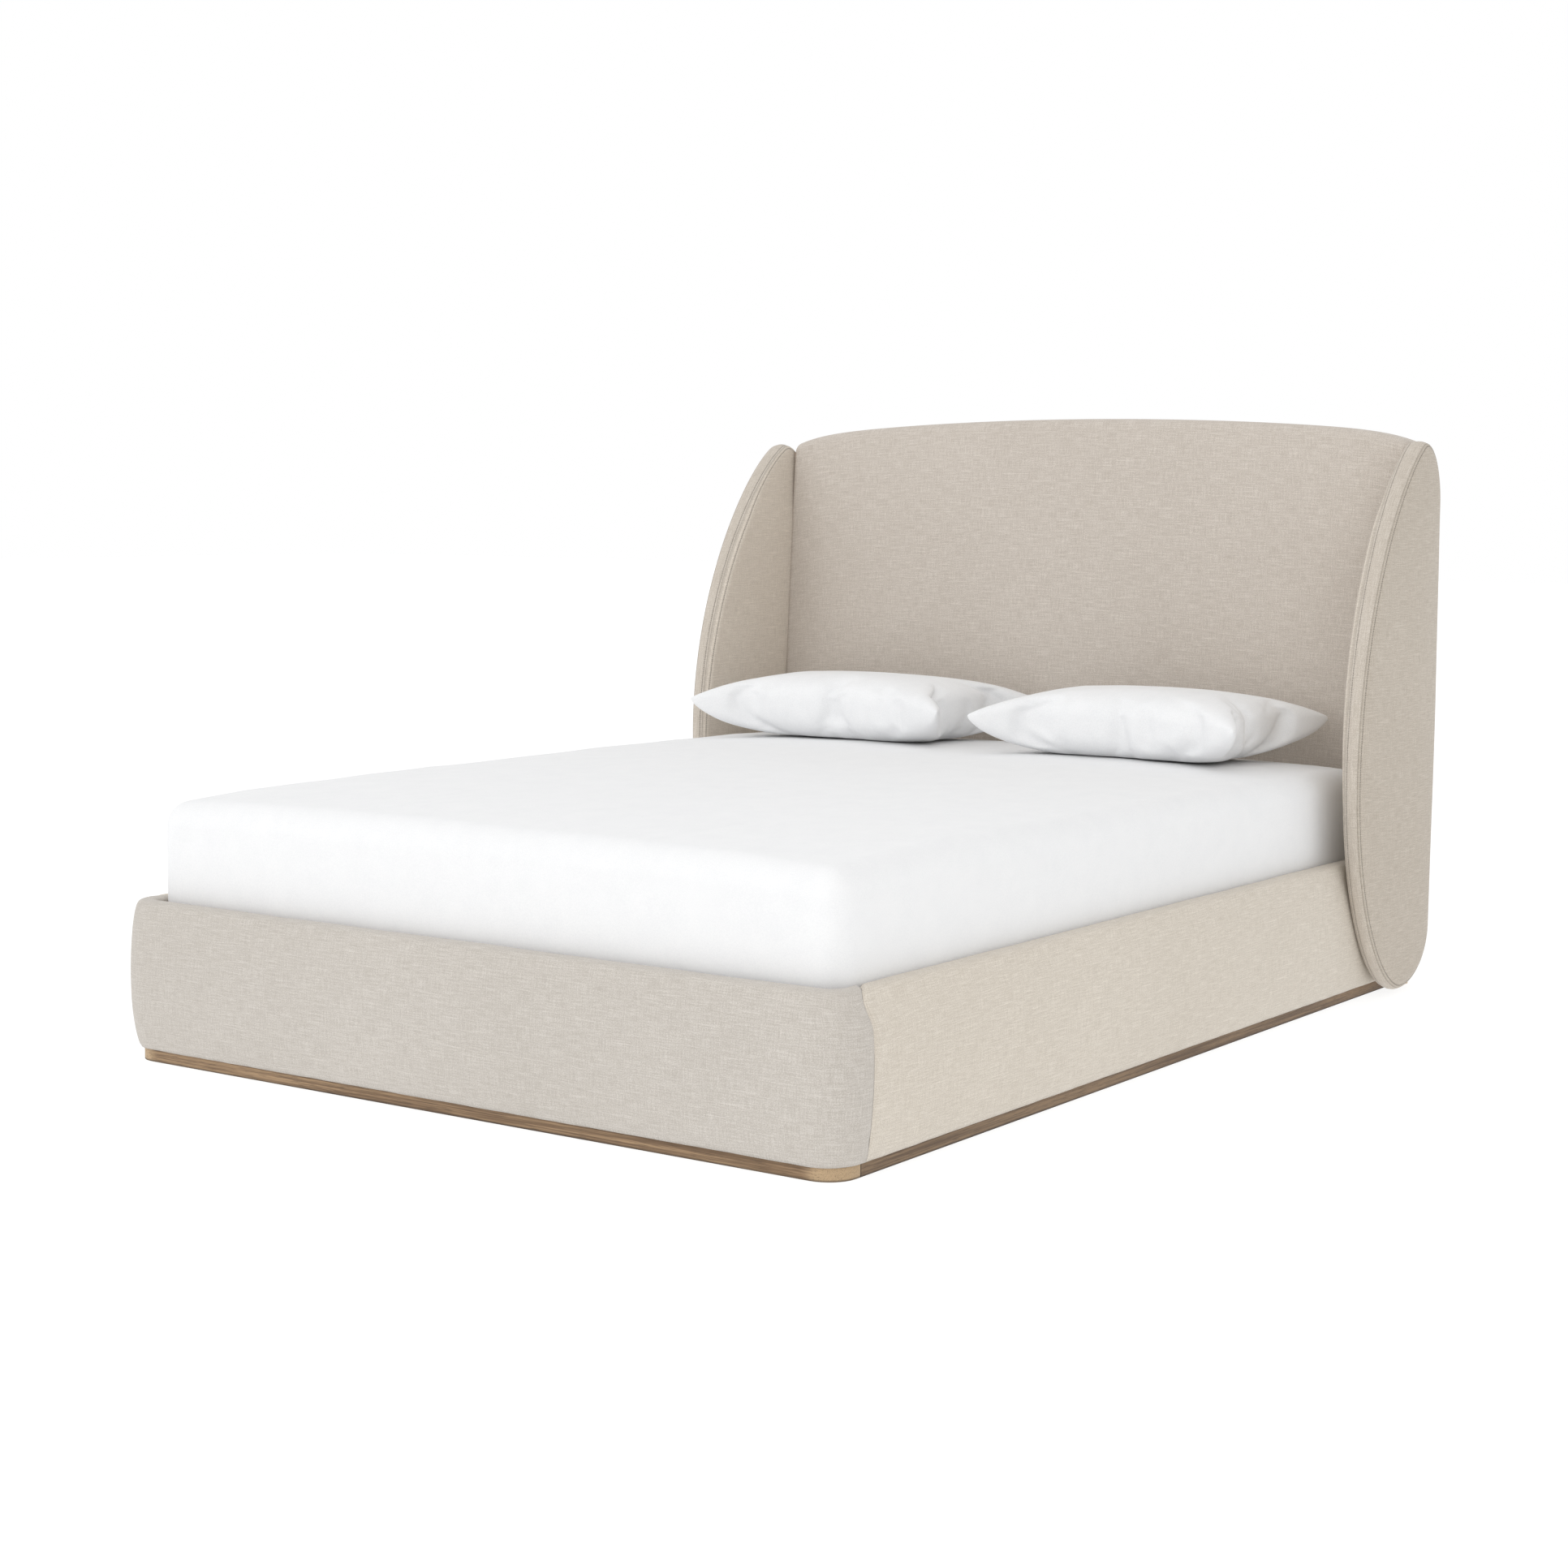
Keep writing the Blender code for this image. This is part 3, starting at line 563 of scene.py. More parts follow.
def leaf(inset):
    """The same outline with its points evenly spaced, so that they match from inset to inset."""
    guide, rough = rough_leaf(0.0), rough_leaf(inset)
    guide, rough = [*guide, guide[0]], [*rough, rough[0]]
    lengths = [0.0]
    for before, after in zip(guide, guide[1:]):
        lengths.append(lengths[-1] + math.dist(before, after))
    points, i = [], 0
    for number in range(POINTS_EVEN):
        wanted = lengths[-1] * number / POINTS_EVEN
        while lengths[i + 1] < wanted:
            i += 1
        share = (wanted - lengths[i]) / (lengths[i + 1] - lengths[i])
        points.append(tuple(a + (b - a) * share for a, b in zip(rough[i], rough[i + 1])))
    return points


def inward(outline):
    """The direction into a closed outline at each of its points."""
    found = []
    for i in range(len(outline)):
        before, after = Vector(outline[i - 1]), Vector(outline[(i + 1) % len(outline)])
        run = (after - before).normalized()
        found.append(Vector((-run.y, run.x)))
    return found


def leaf_pad(name, side, base, seam_x, face_x, roll, crown):
    """A closed pad on a leaf-shaped base. From the seam at its edge it rolls out to its face,
    which is crowned. seam_x and face_x give distances from the middle of the bed at a height."""
    outline = leaf(SEAM_INSET)
    normals = inward(outline)
    hub = Vector((wing_back - WING_DEPTH * HUB_BACK, (WING_TIP + WING_BOTTOM) * HUB_UP))
    lengths = [0.0]
    for before, after in zip(outline, [*outline[1:], outline[0]]):
        lengths.append(lengths[-1] + (Vector(after) - Vector(before)).length)
    strips, seams = [], []
    for i in range(len(outline) + 1):
        k = i % len(outline)
        edge, into = Vector(outline[k]), normals[k]
        wide = (edge - hub).length
        strip = [(hub, base), (edge + into * 0.004, base), (edge, base + (seam_x(edge.y) - base) * 0.2)]
        seam = [(lengths[i], 0.3), (lengths[i], 0.004), (lengths[i], 0.0)]
        last = edge + into * NEAR_EDGE[-1]
        places = [(edge + into * off, off) for off in NEAR_EDGE]
        places += [(last + (hub - last) * share, NEAR_EDGE[-1] + (hub - last).length * share)
                   for share in ACROSS_LEAF]
        for place, off in places:
            start, face = seam_x(place.y), face_x(place.y)
            rise = math.sqrt(max(1 - max(1 - off / roll, 0) ** 2, 0))
            toward = 1 - (place - hub).length / wide
            puff = crown * (1 - (1 - max(toward, 0)) ** CROWN_SPREAD)
            puff += LEAF_UNEVEN * swell(side * 3, place.x, place.y, 0.13) * min(off / 0.02, 1)
            dent = STITCH_DENT * math.exp(-((off - STITCH_OFF) / STITCH_SPREAD) ** 2)
            x = start + (face - start) * rise + (puff - dent) * (1 if face > base else -1)
            strip.append((place, x))
            seam.append((lengths[i], off))
        strips.append([Vector((side * x, place.x, place.y)) for place, x in strip])
        seams.append(seam)
    return laid(name, strips, spot=lambda point: (point.y, point.z), seam=seams)


def puffed_share(z):
    """How much of its fullness the inner pad has at a height: none low down or at the tip."""
    (low, full), (falling, gone) = INNER_PUFF_LOW, INNER_PUFF_HIGH
    return ease((z - low) / (full - low)) * (1 - ease((z - falling) / (gone - falling)))


pad_linen = linen("wing_linen", WING_LIGHT, WING_DARK, stitches=[STITCH_OFF])
# The inner pads' linen is painted lighter, as painted light.
lining_linen_painted_lighter = linen("wing_lining_linen", LINING_LIGHT_PAINTED_LIGHTER, LINING_DARK_PAINTED_LIGHTER, stitches=[STITCH_OFF])
band_linen = linen("wing_band_linen", BAND_LIGHT, BAND_DARK, stitches=[STITCH_OFF])
for side, word in ((-1, "left"), (1, "right")):
    inner_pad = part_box(f"wing_inner_pad_{word}")
    outer_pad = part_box(f"wing_outer_pad_{word}")
    inside = min(abs(inner_pad[0].x), abs(inner_pad[1].x))
    board_in = max(abs(inner_pad[0].x), abs(inner_pad[1].x))
    board_out = min(abs(outer_pad[0].x), abs(outer_pad[1].x))
    outermost = max(abs(outer_pad[0].x), abs(outer_pad[1].x))

    def inner_seam_x(z):
        return inside + INNER_SEAM - lean(z)

    def outer_seam_x(z):
        return max(inside + OUTER_SEAM - lean(z) * OUTER_SEAM_LEAN, board_out + SEAM_PROUD)

    def outer_face_x(z):
        return outermost - OUTER_CROWN - lean(z) * OUTER_FACE_LEAN

    def inner_face_x(z):
        return inside - INNER_PUFF * puffed_share(z) - lean(z)

    lining = leaf_pad(f"wing_inner_linen_{word}", side, board_in, inner_seam_x, inner_face_x,
                      INNER_ROLL, 0.0)
    face = leaf_pad(f"wing_outer_linen_{word}", side, board_out, outer_seam_x, outer_face_x,
                    OUTER_ROLL, OUTER_CROWN)
    for piece, node, look in ((lining, "wing_inner_pad", lining_linen_painted_lighter),
                              (face, "wing_outer_pad", pad_linen)):
        piece.data.materials.append(look)
        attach(piece, "bed_frame")
        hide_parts(f"{node}_{word}")

    outer_line, inner_line = leaf(0.0), leaf(BOARD_LINE)
    outward = [-1 * direction for direction in inward(outer_line)]
    lengths, strips, seams = 0.0, [], []
    for i in range(len(outer_line) + 1):
        k = i % len(outer_line)
        edge, under = Vector(outer_line[k]), Vector(inner_line[k])
        if i:
            lengths += (edge - Vector(outer_line[k - 1])).length
        if (edge - under).length < 0.002:
            edge = under + outward[k] * BAND_BEHIND
        thick = edge - under
        low_x, high_x = inner_seam_x(edge.y), outer_seam_x(edge.y)
        ring, seam = [], []
        for m in range(BAND_POINTS + 1):
            share = -1 + 2 * m / BAND_POINTS
            share = share * (1.35 - 0.35 * share * share)
            x = low_x + (high_x - low_x) * (0.5 + 0.5 * share)
            sink = thick.length * (SEAM_INSET / BOARD_LINE * abs(share) ** 2.2)
            dent = math.exp(-((x - low_x - STITCH_OFF) / STITCH_SPREAD) ** 2)
            sink += min(STITCH_DENT, thick.length * 0.3) * dent
            ring.append((x, edge - thick.normalized() * sink))
            seam.append((lengths, x - low_x))
        floor_line = under - thick.normalized() * (BAND_UNDER if thick.length > 0.002 else 0.0)
        ring += [(high_x, floor_line), (low_x, floor_line), ring[0]]
        seam += [(lengths, 0.03), (lengths, 0.03), seam[0]]
        strips.append([Vector((side * x, place.x, place.y)) for x, place in ring])
        seams.append(seam)
    band = laid(f"wing_boxing_band_{word}", strips, middle=BAND_POINTS // 2, seam=seams)
    band.data.materials.append(band_linen)
    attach(band, "bed_frame")
    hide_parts(f"wing_band_{word}")

# ------------------------------------------------------------------ padded rails
# A soft barrel-shaped pad runs round the foot of the bed and another down each side. They meet in
# a seam just behind each front corner, mitred over the top, and are stapled under the rails.
PLINTH_CORNER = 0.052
RAIL_BELLY = 0.0235
BOARD_INSET = 0.006
CREST_DROP = 0.0096
SEAM_PULL = 0.0042
SEAM_SPREAD = 0.0065
MITRE = ((-0.028, 0.044), (0.006, 0.006), (0.021, -0.006))
SEAM_BACK = 0.020
SEAM_GAP = 0.0006
HEM_UNDER = ((-0.0055, 0.0004), (-0.001, 0.0))
CREST_AT = 0.45
CREST_PULL = (0.014, 0.015, 0.008, 0.007)
BOARD_CLEAR = 0.0005
HEM_CLEAR = 0.0006
MITRE_DROP = 0.012
MITRE_FADE = 0.055
SEAM_ZONE = 0.020
BELLY_POINTS = 44
BELLY_FROM = -0.975
BELLY_SPAN = 1.845
BELLY_TALLER = 1.03
BELLY_MIDDLE = 24
CREST_POINTS = 12
FOOT_COLUMNS = 90
FOOT_STRAIGHT = 0.70
FOOT_TURN = 0.20
FOOT_SEAM = 0.10
SIDE_SEAM_COLUMNS = 12
SIDE_COLUMNS = 98
RAIL_UNEVEN = 0.0013
RAIL_RIPPLE = 0.0005
HEM_RIPPLE = 0.0006
# The side rails and the foot are the same linen as the headboard, in tones set surface by surface: the
# rails' are painted lighter, painted light on the bed's right side, and the foot's a little darker, painted
# shade.
RAIL_LIGHT_PAINTED_LIGHTER = (0.735, 0.678, 0.596)
RAIL_DARK_PAINTED_LIGHTER = (0.545, 0.490, 0.416)
FOOT_LIGHT = (0.624, 0.586, 0.540)
FOOT_DARK = (0.454, 0.418, 0.374)

plinth_low, plinth_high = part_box("plinth_front")
plinth_half = plinth_high.x
plinth_front = plinth_low.y
cover_low, cover_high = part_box("footboard_cover")
rail_low, rail_top = cover_low.z, cover_high.z
rail_inner = min(abs(value.x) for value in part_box("side_cover_right"))
cap_reach = plinth_half - rail_inner
board_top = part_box("foot_rail")[1].z + 0.0005
rail_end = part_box("side_cover_right")[1].y


def rail_section():
    """Points round the padding as (outward, height), from the hem up over the crest."""
    middle, tall = (rail_low + rail_top) / 2, (rail_top - rail_low) / 2
    points = [(reach, rail_low + up) for reach, up in HEM_UNDER]
    for i in range(BELLY_POINTS + 1):
        t = BELLY_FROM + BELLY_SPAN * i / BELLY_POINTS
        points.append((RAIL_BELLY * math.sqrt(1 - t * t), middle + t * tall * BELLY_TALLER))
    rise = Vector(points[-1])
    aim = (rise - Vector(points[-2])).normalized()
    crest = Vector((-cap_reach * CREST_AT, rail_top))
    inner = Vector((-cap_reach, rail_top - CREST_DROP))
    pulls = CREST_PULL
    for start, first, last, end in (
            (rise, rise + aim * pulls[0], crest + Vector((pulls[1], 0)), crest),
            (crest, crest - Vector((pulls[2], 0)), inner + Vector((0, pulls[3])), inner)):
        for i in range(1, CREST_POINTS + 1):
            s = i / CREST_POINTS
            r = 1 - s
            points.append(tuple(start * r ** 3 + first * 3 * r * r * s + last * 3 * r * s * s
                                + end * s ** 3))
    board_face = BOARD_CLEAR - BOARD_INSET
    points += [(-cap_reach, board_top), (board_face, board_top), (board_face, rail_low + HEM_CLEAR),
               points[0]]
    return points


section = rail_section()
section_out = []
for i in range(len(section)):
    before, after = section[max(i - 1, 0)], section[min(i + 1, len(section) - 1)]
    run = Vector((after[0] - before[0], after[1] - before[1])).normalized()
    section_out.append(Vector((run.y, -run.x)))
SKIN_POINTS = len(section) - 4
run_to_corner = plinth_half - PLINTH_CORNER
corner_run = PLINTH_CORNER * math.pi / 2


def seam_shift(reach, height):
    """Where the corner seam lies past the end of the rounded corner, mitred over the crest."""
    (a, shift_a), (b, shift_b), (c, shift_c) = MITRE
    if reach < b:
        top = shift_a + (shift_b - shift_a) * max(reach - a, 0) / (b - a)
    else:
        top = shift_b + (shift_c - shift_b) * min((reach - b) / (c - b), 1)
    fall = min(max((rail_top - MITRE_DROP - height) / MITRE_FADE, 0), 1)
    return top + (SEAM_BACK - top) * fall * fall * (3 - 2 * fall)


def at_plinth(run):
    """The place and the outward direction after a run along the plinth from the middle of the foot."""
    side, run = math.copysign(1, run), abs(run)
    if run <= run_to_corner:
        return Vector((side * run, plinth_front)), Vector((0, -1))
    turn = min((run - run_to_corner) / PLINTH_CORNER, math.pi / 2)
    out = Vector((side * math.sin(turn), -math.cos(turn)))
    place = Vector((side * run_to_corner, plinth_front + PLINTH_CORNER)) + out * PLINTH_CORNER
    beyond = max(run - run_to_corner - corner_run, 0)
    return place + Vector((0, beyond)), out


def rail_point(index, run, from_seam):
    """A point of the padding, sunk where it is pulled into the seam."""
    reach, height = section[index]
    place, out = at_plinth(run)
    pull = SEAM_PULL * math.exp(-(from_seam / SEAM_SPREAD) ** 2) if index < SKIN_POINTS else 0.0
    pull *= min(max(height - rail_low - 0.002, 0) / 0.03, 1)
    bumps = 0.0
    if 2 < index < SKIN_POINTS:
        bumps = RAIL_UNEVEN * swell(place.x, place.y, height, 0.16)
        bumps += RAIL_RIPPLE * swell(place.x, place.y, height, 0.05)
    elif index <= 2:
        height += HEM_RIPPLE * swell(place.x, place.y, 0, 0.035) + HEM_RIPPLE
    away = section_out[index] * (bumps - pull)
    reach, height = reach + away.x, height + away.y
    return Vector((place.x + out.x * reach, place.y + out.y * reach, height))


strips = []
for number in range(-FOOT_COLUMNS, FOOT_COLUMNS + 1):
    size = abs(number) / FOOT_COLUMNS
    strip = []
    for index, (reach, height) in enumerate(section):
        end = run_to_corner + corner_run + seam_shift(reach, height)
        if size <= FOOT_STRAIGHT:
            run = run_to_corner * size / FOOT_STRAIGHT
        elif size <= FOOT_STRAIGHT + FOOT_TURN:
            run = run_to_corner + (end - SEAM_ZONE - run_to_corner) * (size - FOOT_STRAIGHT) / FOOT_TURN
        else:
            run = end - SEAM_ZONE * ((1 - size) / FOOT_SEAM) ** 1.4
        strip.append(rail_point(index, math.copysign(run, number), end - run))
    strips.append(strip)
foot_pad = laid("footboard_linen_pad", strips, middle=BELLY_MIDDLE)
foot_linen = linen("footboard_linen", FOOT_LIGHT, FOOT_DARK)
foot_pad.data.materials.append(foot_linen)
# The side rails' linen is painted lighter than the foot's, as painted light.
rail_linen = linen("side_rail_linen", RAIL_LIGHT_PAINTED_LIGHTER, RAIL_DARK_PAINTED_LIGHTER)
side_pads = []
for side, word in ((-1, "left"), (1, "right")):
    strips = []
    for i in range(SIDE_SEAM_COLUMNS + SIDE_COLUMNS + 1):
        strip = []
        for index, (reach, height) in enumerate(section):
            start = run_to_corner + corner_run + seam_shift(reach, height) + SEAM_GAP
            total = run_to_corner + corner_run + rail_end - plinth_front - PLINTH_CORNER
            if i <= SIDE_SEAM_COLUMNS:
                run = start + SEAM_ZONE * (i / SIDE_SEAM_COLUMNS) ** 1.4
            else:
                beyond = (i - SIDE_SEAM_COLUMNS) / SIDE_COLUMNS
                run = start + SEAM_ZONE + (total - start - SEAM_ZONE) * beyond
            strip.append(rail_point(index, side * run, run - start))
        strips.append(strip)
    side_pad = laid(f"side_rail_linen_pad_{word}", strips, middle=BELLY_MIDDLE)
    side_pad.data.materials.append(rail_linen)
    side_pads.append(side_pad)
for piece, node in zip([foot_pad, *side_pads], ("footboard_cover", "side_cover_left", "side_cover_right")):
    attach(piece, "bed_frame")
    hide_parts(node)

# ------------------------------------------------------------------ oak plinth
# A low strip of oak stands under the padding, one bent piece across the foot and a straight one
# down each side, butted together behind the corners. It has a matt, weathered brown finish that
# is paler round the bends. The side pieces are painted darker, as painted shade, and the bottom
# few millimetres of every piece are painted darker still, as a painted contact shadow.
OAK_LIGHT = (0.370, 0.242, 0.134)
OAK_DARK = (0.155, 0.090, 0.044)
OAK_PORE = (0.075, 0.042, 0.020)
OAK_BEND = (0.560, 0.400, 0.235)
# Painted shade: the side pieces take the foot's oak colours darkened by these shares.
OAK_SIDE_SHADE_ON_LIGHT = 0.66
OAK_SIDE_SHADE_ON_DARK = 0.70
BEND_FROM = 0.070
BEND_UNTIL = 0.035


def timber(name, light, dark, pore, grain, roughness=0.55, ring=1.0, bend=None, joint=None):
    """Plain-sawn timber with its grain along one axis: 0 for X, 1 for Y and 2 for Z. bend is the
    paler colour of rounded corners, and joint is where two pieces butt, in Y. Where a joint is
    given, the bottom few millimetres are also painted darker, as a painted contact shadow."""
    made, start, skin = new_material(name, roughness)
    place = start.node("TexCoord", {}, out="Object")

    def stretch(long, short):
        return [long if axis == grain else short for axis in range(3)]

    figure = place.times(*stretch(1.3, 26 * ring)).cloud(detail=4, rough=0.6)
    line = place.times(*stretch(3.0, 250)).cloud(detail=4, rough=0.65)
    fleck = place.times(*stretch(30, 1300)).cloud(detail=1).step(0.56, 0.70)
    tone = (figure * 0.5 + line * 0.7).step(0.48, 0.72)
    colour = tone.tint(dark, light)
    if bend:
        # The bent corners are coloured paler.
        turned = place.part("X").once("ABSOLUTE").step(plinth_half - BEND_FROM, plinth_half - BEND_UNTIL)
        bend_tone = (line * 0.5 + 0.25).tint(tuple(c * 0.8 for c in bend), bend)
        colour = (turned * 0.85).tint(colour, bend_tone)
    colour = (fleck * 0.7).tint(colour, pore)
    if joint is not None:
        butt = (place.part("Y") - joint).once("ABSOLUTE").step(0.0020, 0.0008)
        # Painted contact shadow: the bottom few millimetres of each piece are painted darker, as if shaded
        # by the floor.
        painted_contact_shadow = place.part("Z").step(0.0045, 0.0010)
        colour = (butt * 0.8 + painted_contact_shadow * 0.7).tint(colour, tuple(c * 0.3 for c in pore))
    colour.to(skin["Base Color"])
    (roughness - 0.08 + line * 0.2).to(skin["Roughness"])
    (line - fleck * 0.8).bump(0.0004, 0.5).to(skin["Normal"])
    return made


def finish_node(name, look):
    """Gives a CAD piece that keeps its own shape its real finish."""
    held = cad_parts[name]
    if not held.data.materials:
        held.data.materials.append(look)
    for index in range(len(held.data.materials)):
        held.data.materials[index] = look


butt_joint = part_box("plinth_right")[0].y
oak_foot = timber("oak_across_foot", OAK_LIGHT, OAK_DARK, OAK_PORE, 0, bend=OAK_BEND, joint=butt_joint)
finish_node("plinth_front", oak_foot)
# The side pieces' oak is painted darker than the foot's, as painted shade.
oak_side = timber("oak_along_side", tuple(c * OAK_SIDE_SHADE_ON_LIGHT for c in OAK_LIGHT),
                  tuple(c * OAK_SIDE_SHADE_ON_DARK for c in OAK_DARK), OAK_PORE, 1, joint=butt_joint)
for word in ("left", "right"):
    finish_node(f"plinth_{word}", oak_side)

# ------------------------------------------------------------------ timber frame and slats
# Rails, posts, ledgers, the centre beam and its legs are planed pine, screwed and glued. Twelve
# paler slats lie across the ledgers; the panels behind the padding are plywood.
PINE_LIGHT = (0.640, 0.455, 0.260)
PINE_DARK = (0.480, 0.305, 0.150)
PINE_PORE = (0.350, 0.200, 0.090)
SLAT_LIGHT = (0.730, 0.560, 0.360)
SLAT_DARK = (0.590, 0.410, 0.235)
PLY_LIGHT = (0.600, 0.435, 0.270)
PLY_DARK = (0.450, 0.300, 0.170)

pine = [timber(f"pine_grain_{axis}", PINE_LIGHT, PINE_DARK, PINE_PORE, number, 0.6, 0.8)
        for number, axis in enumerate("xyz")]
for name in ("foot_rail", "corner_block_left", "corner_block_right", "headboard_top_rail",
             "headboard_middle_rail", "headboard_bottom_rail"):
    finish_node(name, pine[0])
for name in ("side_rail_left", "side_rail_right", "slat_ledger_left", "slat_ledger_right", "centre_beam"):
    finish_node(name, pine[1])
for name in ("headboard_post_left", "headboard_post_right", "centre_leg_1", "centre_leg_2", "centre_leg_3"):
    finish_node(name, pine[2])
slat_pine = timber("slat_pine", SLAT_LIGHT, SLAT_DARK, PINE_DARK, 0, 0.62, 0.9)
for number in range(1, 13):
    finish_node(f"slat_{number:02d}", slat_pine)
ply = timber("plywood_face", PLY_LIGHT, PLY_DARK, PINE_PORE, 2, 0.6, 0.35)
for name in ("headboard_panel", "wing_board_left", "wing_board_right"):
    finish_node(name, ply)

# ------------------------------------------------------------------ brackets and levelling feet
# Pressed-steel brackets with a dark coating hold the rails and the beam. Nylon feet on threaded
# stems screw into the centre legs and take up an uneven floor.
COATED_DARK = (0.055, 0.055, 0.058)
COATED_BRIGHT = (0.160, 0.160, 0.165)
NYLON_DARK = (0.020, 0.020, 0.021)
NYLON_LIGHT = (0.060, 0.060, 0.060)

coated = steel("coated_steel", COATED_DARK, COATED_BRIGHT, 0.42)
for name in ("beam_cradle_foot", "beam_cradle_head", "rail_bracket_left", "rail_bracket_right"):
    finish_node(name, coated)
nylon, start, skin = new_material("foot_nylon", 0.5)
place = start.node("TexCoord", {}, out="Object")
scuff = place.cloud(160, 4, 0.65)
scuff.step(0.45, 0.75).tint(NYLON_DARK, NYLON_LIGHT).to(skin["Base Color"])
(0.38 + scuff * 0.3).to(skin["Roughness"])
scuff.bump(0.0002, 0.4).to(skin["Normal"])
for number in (1, 2, 3):
    finish_node(f"leveller_{number}", nylon)

# ------------------------------------------------------------------ mattress
# A sprung mattress in quilted ticking, wholly inside its fitted sheet, so only its underside
# shows, between the slats.
BED_CUTS = 62
MATTRESS_ROLL = 0.058
PLAN_ROLL = 0.044
CROWN_DROP = 0.013
TICKING_INSIDE = 0.002
TICKING_BELOW = 0.004
TICKING_DARK = (0.60, 0.585, 0.55)
TICKING_LIGHT = (0.80, 0.79, 0.76)


def rounded_box(shape, low, high, roll, plan_roll):
    """Shapes a finely cut unit cube into a soft-edged box between two corners."""
    centre, half_size = (low + high) / 2, (high - low) / 2
    for vert in shape.verts:
        t = vert.co * 2
        t = Vector([value * (1.5 - 0.5 * value * value) for value in t])
        place = Vector([t[i] * half_size[i] for i in range(3)])
        core = half_size - Vector((plan_roll, plan_roll, roll))
        held = Vector([min(max(place[i], -core[i]), core[i]) for i in range(3)])
        off = place - held
        plan = Vector((off.x, off.y)) / plan_roll
        if plan.length > 1e-9:
            square = max(abs(plan.x), abs(plan.y))
            plan *= square / plan.length
        rise = off.z / roll
        square = max(plan.length, abs(rise))
        size = math.hypot(plan.length, rise)
        if size > 1e-9:
            plan, rise = plan * square / size, rise * square / size
        vert.co = centre + held + Vector((plan.x * plan_roll, plan.y * plan_roll, rise * roll))


def cut_cube():
    """A unit cube whose faces are finely cut."""
    shape = bmesh.new()
    bmesh.ops.create_cube(shape, size=1)
    bmesh.ops.subdivide_edges(shape, edges=shape.edges[:], cuts=BED_CUTS, use_grid_fill=True)
    return shape


mattress_low, mattress_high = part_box("mattress")
shape = cut_cube()
rounded_box(shape, mattress_low + Vector((TICKING_INSIDE, TICKING_INSIDE, 0)),
            mattress_high - Vector((TICKING_INSIDE, TICKING_INSIDE, TICKING_BELOW)),
            MATTRESS_ROLL, PLAN_ROLL)
mattress_middle = (mattress_low + mattress_high) / 2
tall = mattress_high.z - mattress_low.z
for vert in shape.verts:
    lift = max(vert.co.z - mattress_middle.z, 0) * 2 / tall
    across = abs(vert.co.x) / mattress_high.x
    length = abs(vert.co.y - mattress_middle.y) / (mattress_high.y - mattress_middle.y)
    vert.co.z -= lift * CROWN_DROP * (across ** 3 + length ** 4)
bmesh.ops.recalc_face_normals(shape, faces=shape.faces)
mattress = as_object("quilted_mattress", shape)
ticking, start, skin = new_material("mattress_ticking", 0.9)
place = start.node("TexCoord", {}, out="Object")
weave = place.times(900, 900, 900).cloud(detail=1)
quilt = start.node("TexVoronoi", {"Vector": place, "Scale": 11.0}, feature="F1")
# Painted shade: the ticking is darker towards the middle of each quilted cell, where the quilting sinks it.
tone = weave * 0.5 + quilt * 0.5
tone.step(0.2, 0.8).tint(TICKING_DARK, TICKING_LIGHT).to(skin["Base Color"])
(0.95 - weave * 0.12).to(skin["Roughness"])
(quilt * 1.5 + weave * 0.1).bump(0.004, 0.5).to(skin["Normal"])
mattress.data.materials.append(ticking)
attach(mattress, "mattress_and_sheet")
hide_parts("mattress")

# ------------------------------------------------------------------ fitted sheet
# White cotton pulled over the mattress. Its corners are sewn, its elastic hem grips low on the
# mattress's sides, and small creases are left across the top and down the sides.
SHEET_THICK = 0.0012
HEM_HEIGHT = 0.018
SHEET_WHITE = (0.850, 0.853, 0.858)
SHEET_SHADE = (0.800, 0.806, 0.816)
CREASE_DEPTH = 0.0028
CREASE_SIZE = 0.17
CRUMPLE_DEPTH = 0.0012
CRUMPLE_SIZE = 0.06

sheet_low, sheet_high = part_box("fitted_sheet")
shape = cut_cube()
cloth = shape.loops.layers.uv.new("cloth")
for face in shape.faces:
    middle = face.calc_center_median()
    axis = max(range(3), key=lambda number: abs(middle[number]))
    for loop in face.loops:
        spot = [value * (1.5 - 2 * value ** 2) * 2 for value in loop.vert.co]
        x, y, z = spot[0] * sheet_high.x, spot[1] * (sheet_high.y - sheet_low.y) / 2, spot[2] * tall / 2
        if axis == 2:
            loop[cloth].uv = (x, y)
        elif axis == 0:
            loop[cloth].uv = (math.copysign(sheet_high.x + tall / 2 - z, middle.x), y)
        else:
            loop[cloth].uv = (x, math.copysign((sheet_high.y - sheet_low.y) / 2 + tall / 2 - z, middle.y))
rounded_box(shape, Vector((sheet_low.x, sheet_low.y, mattress_low.z)), sheet_high, MATTRESS_ROLL, PLAN_ROLL)
bmesh.ops.bisect_plane(shape, geom=shape.verts[:] + shape.edges[:] + shape.faces[:],
                       plane_co=(0, 0, mattress_low.z + HEM_HEIGHT), plane_no=(0, 0, -1), clear_outer=True)
bmesh.ops.recalc_face_normals(shape, faces=shape.faces)
shape.normal_update()
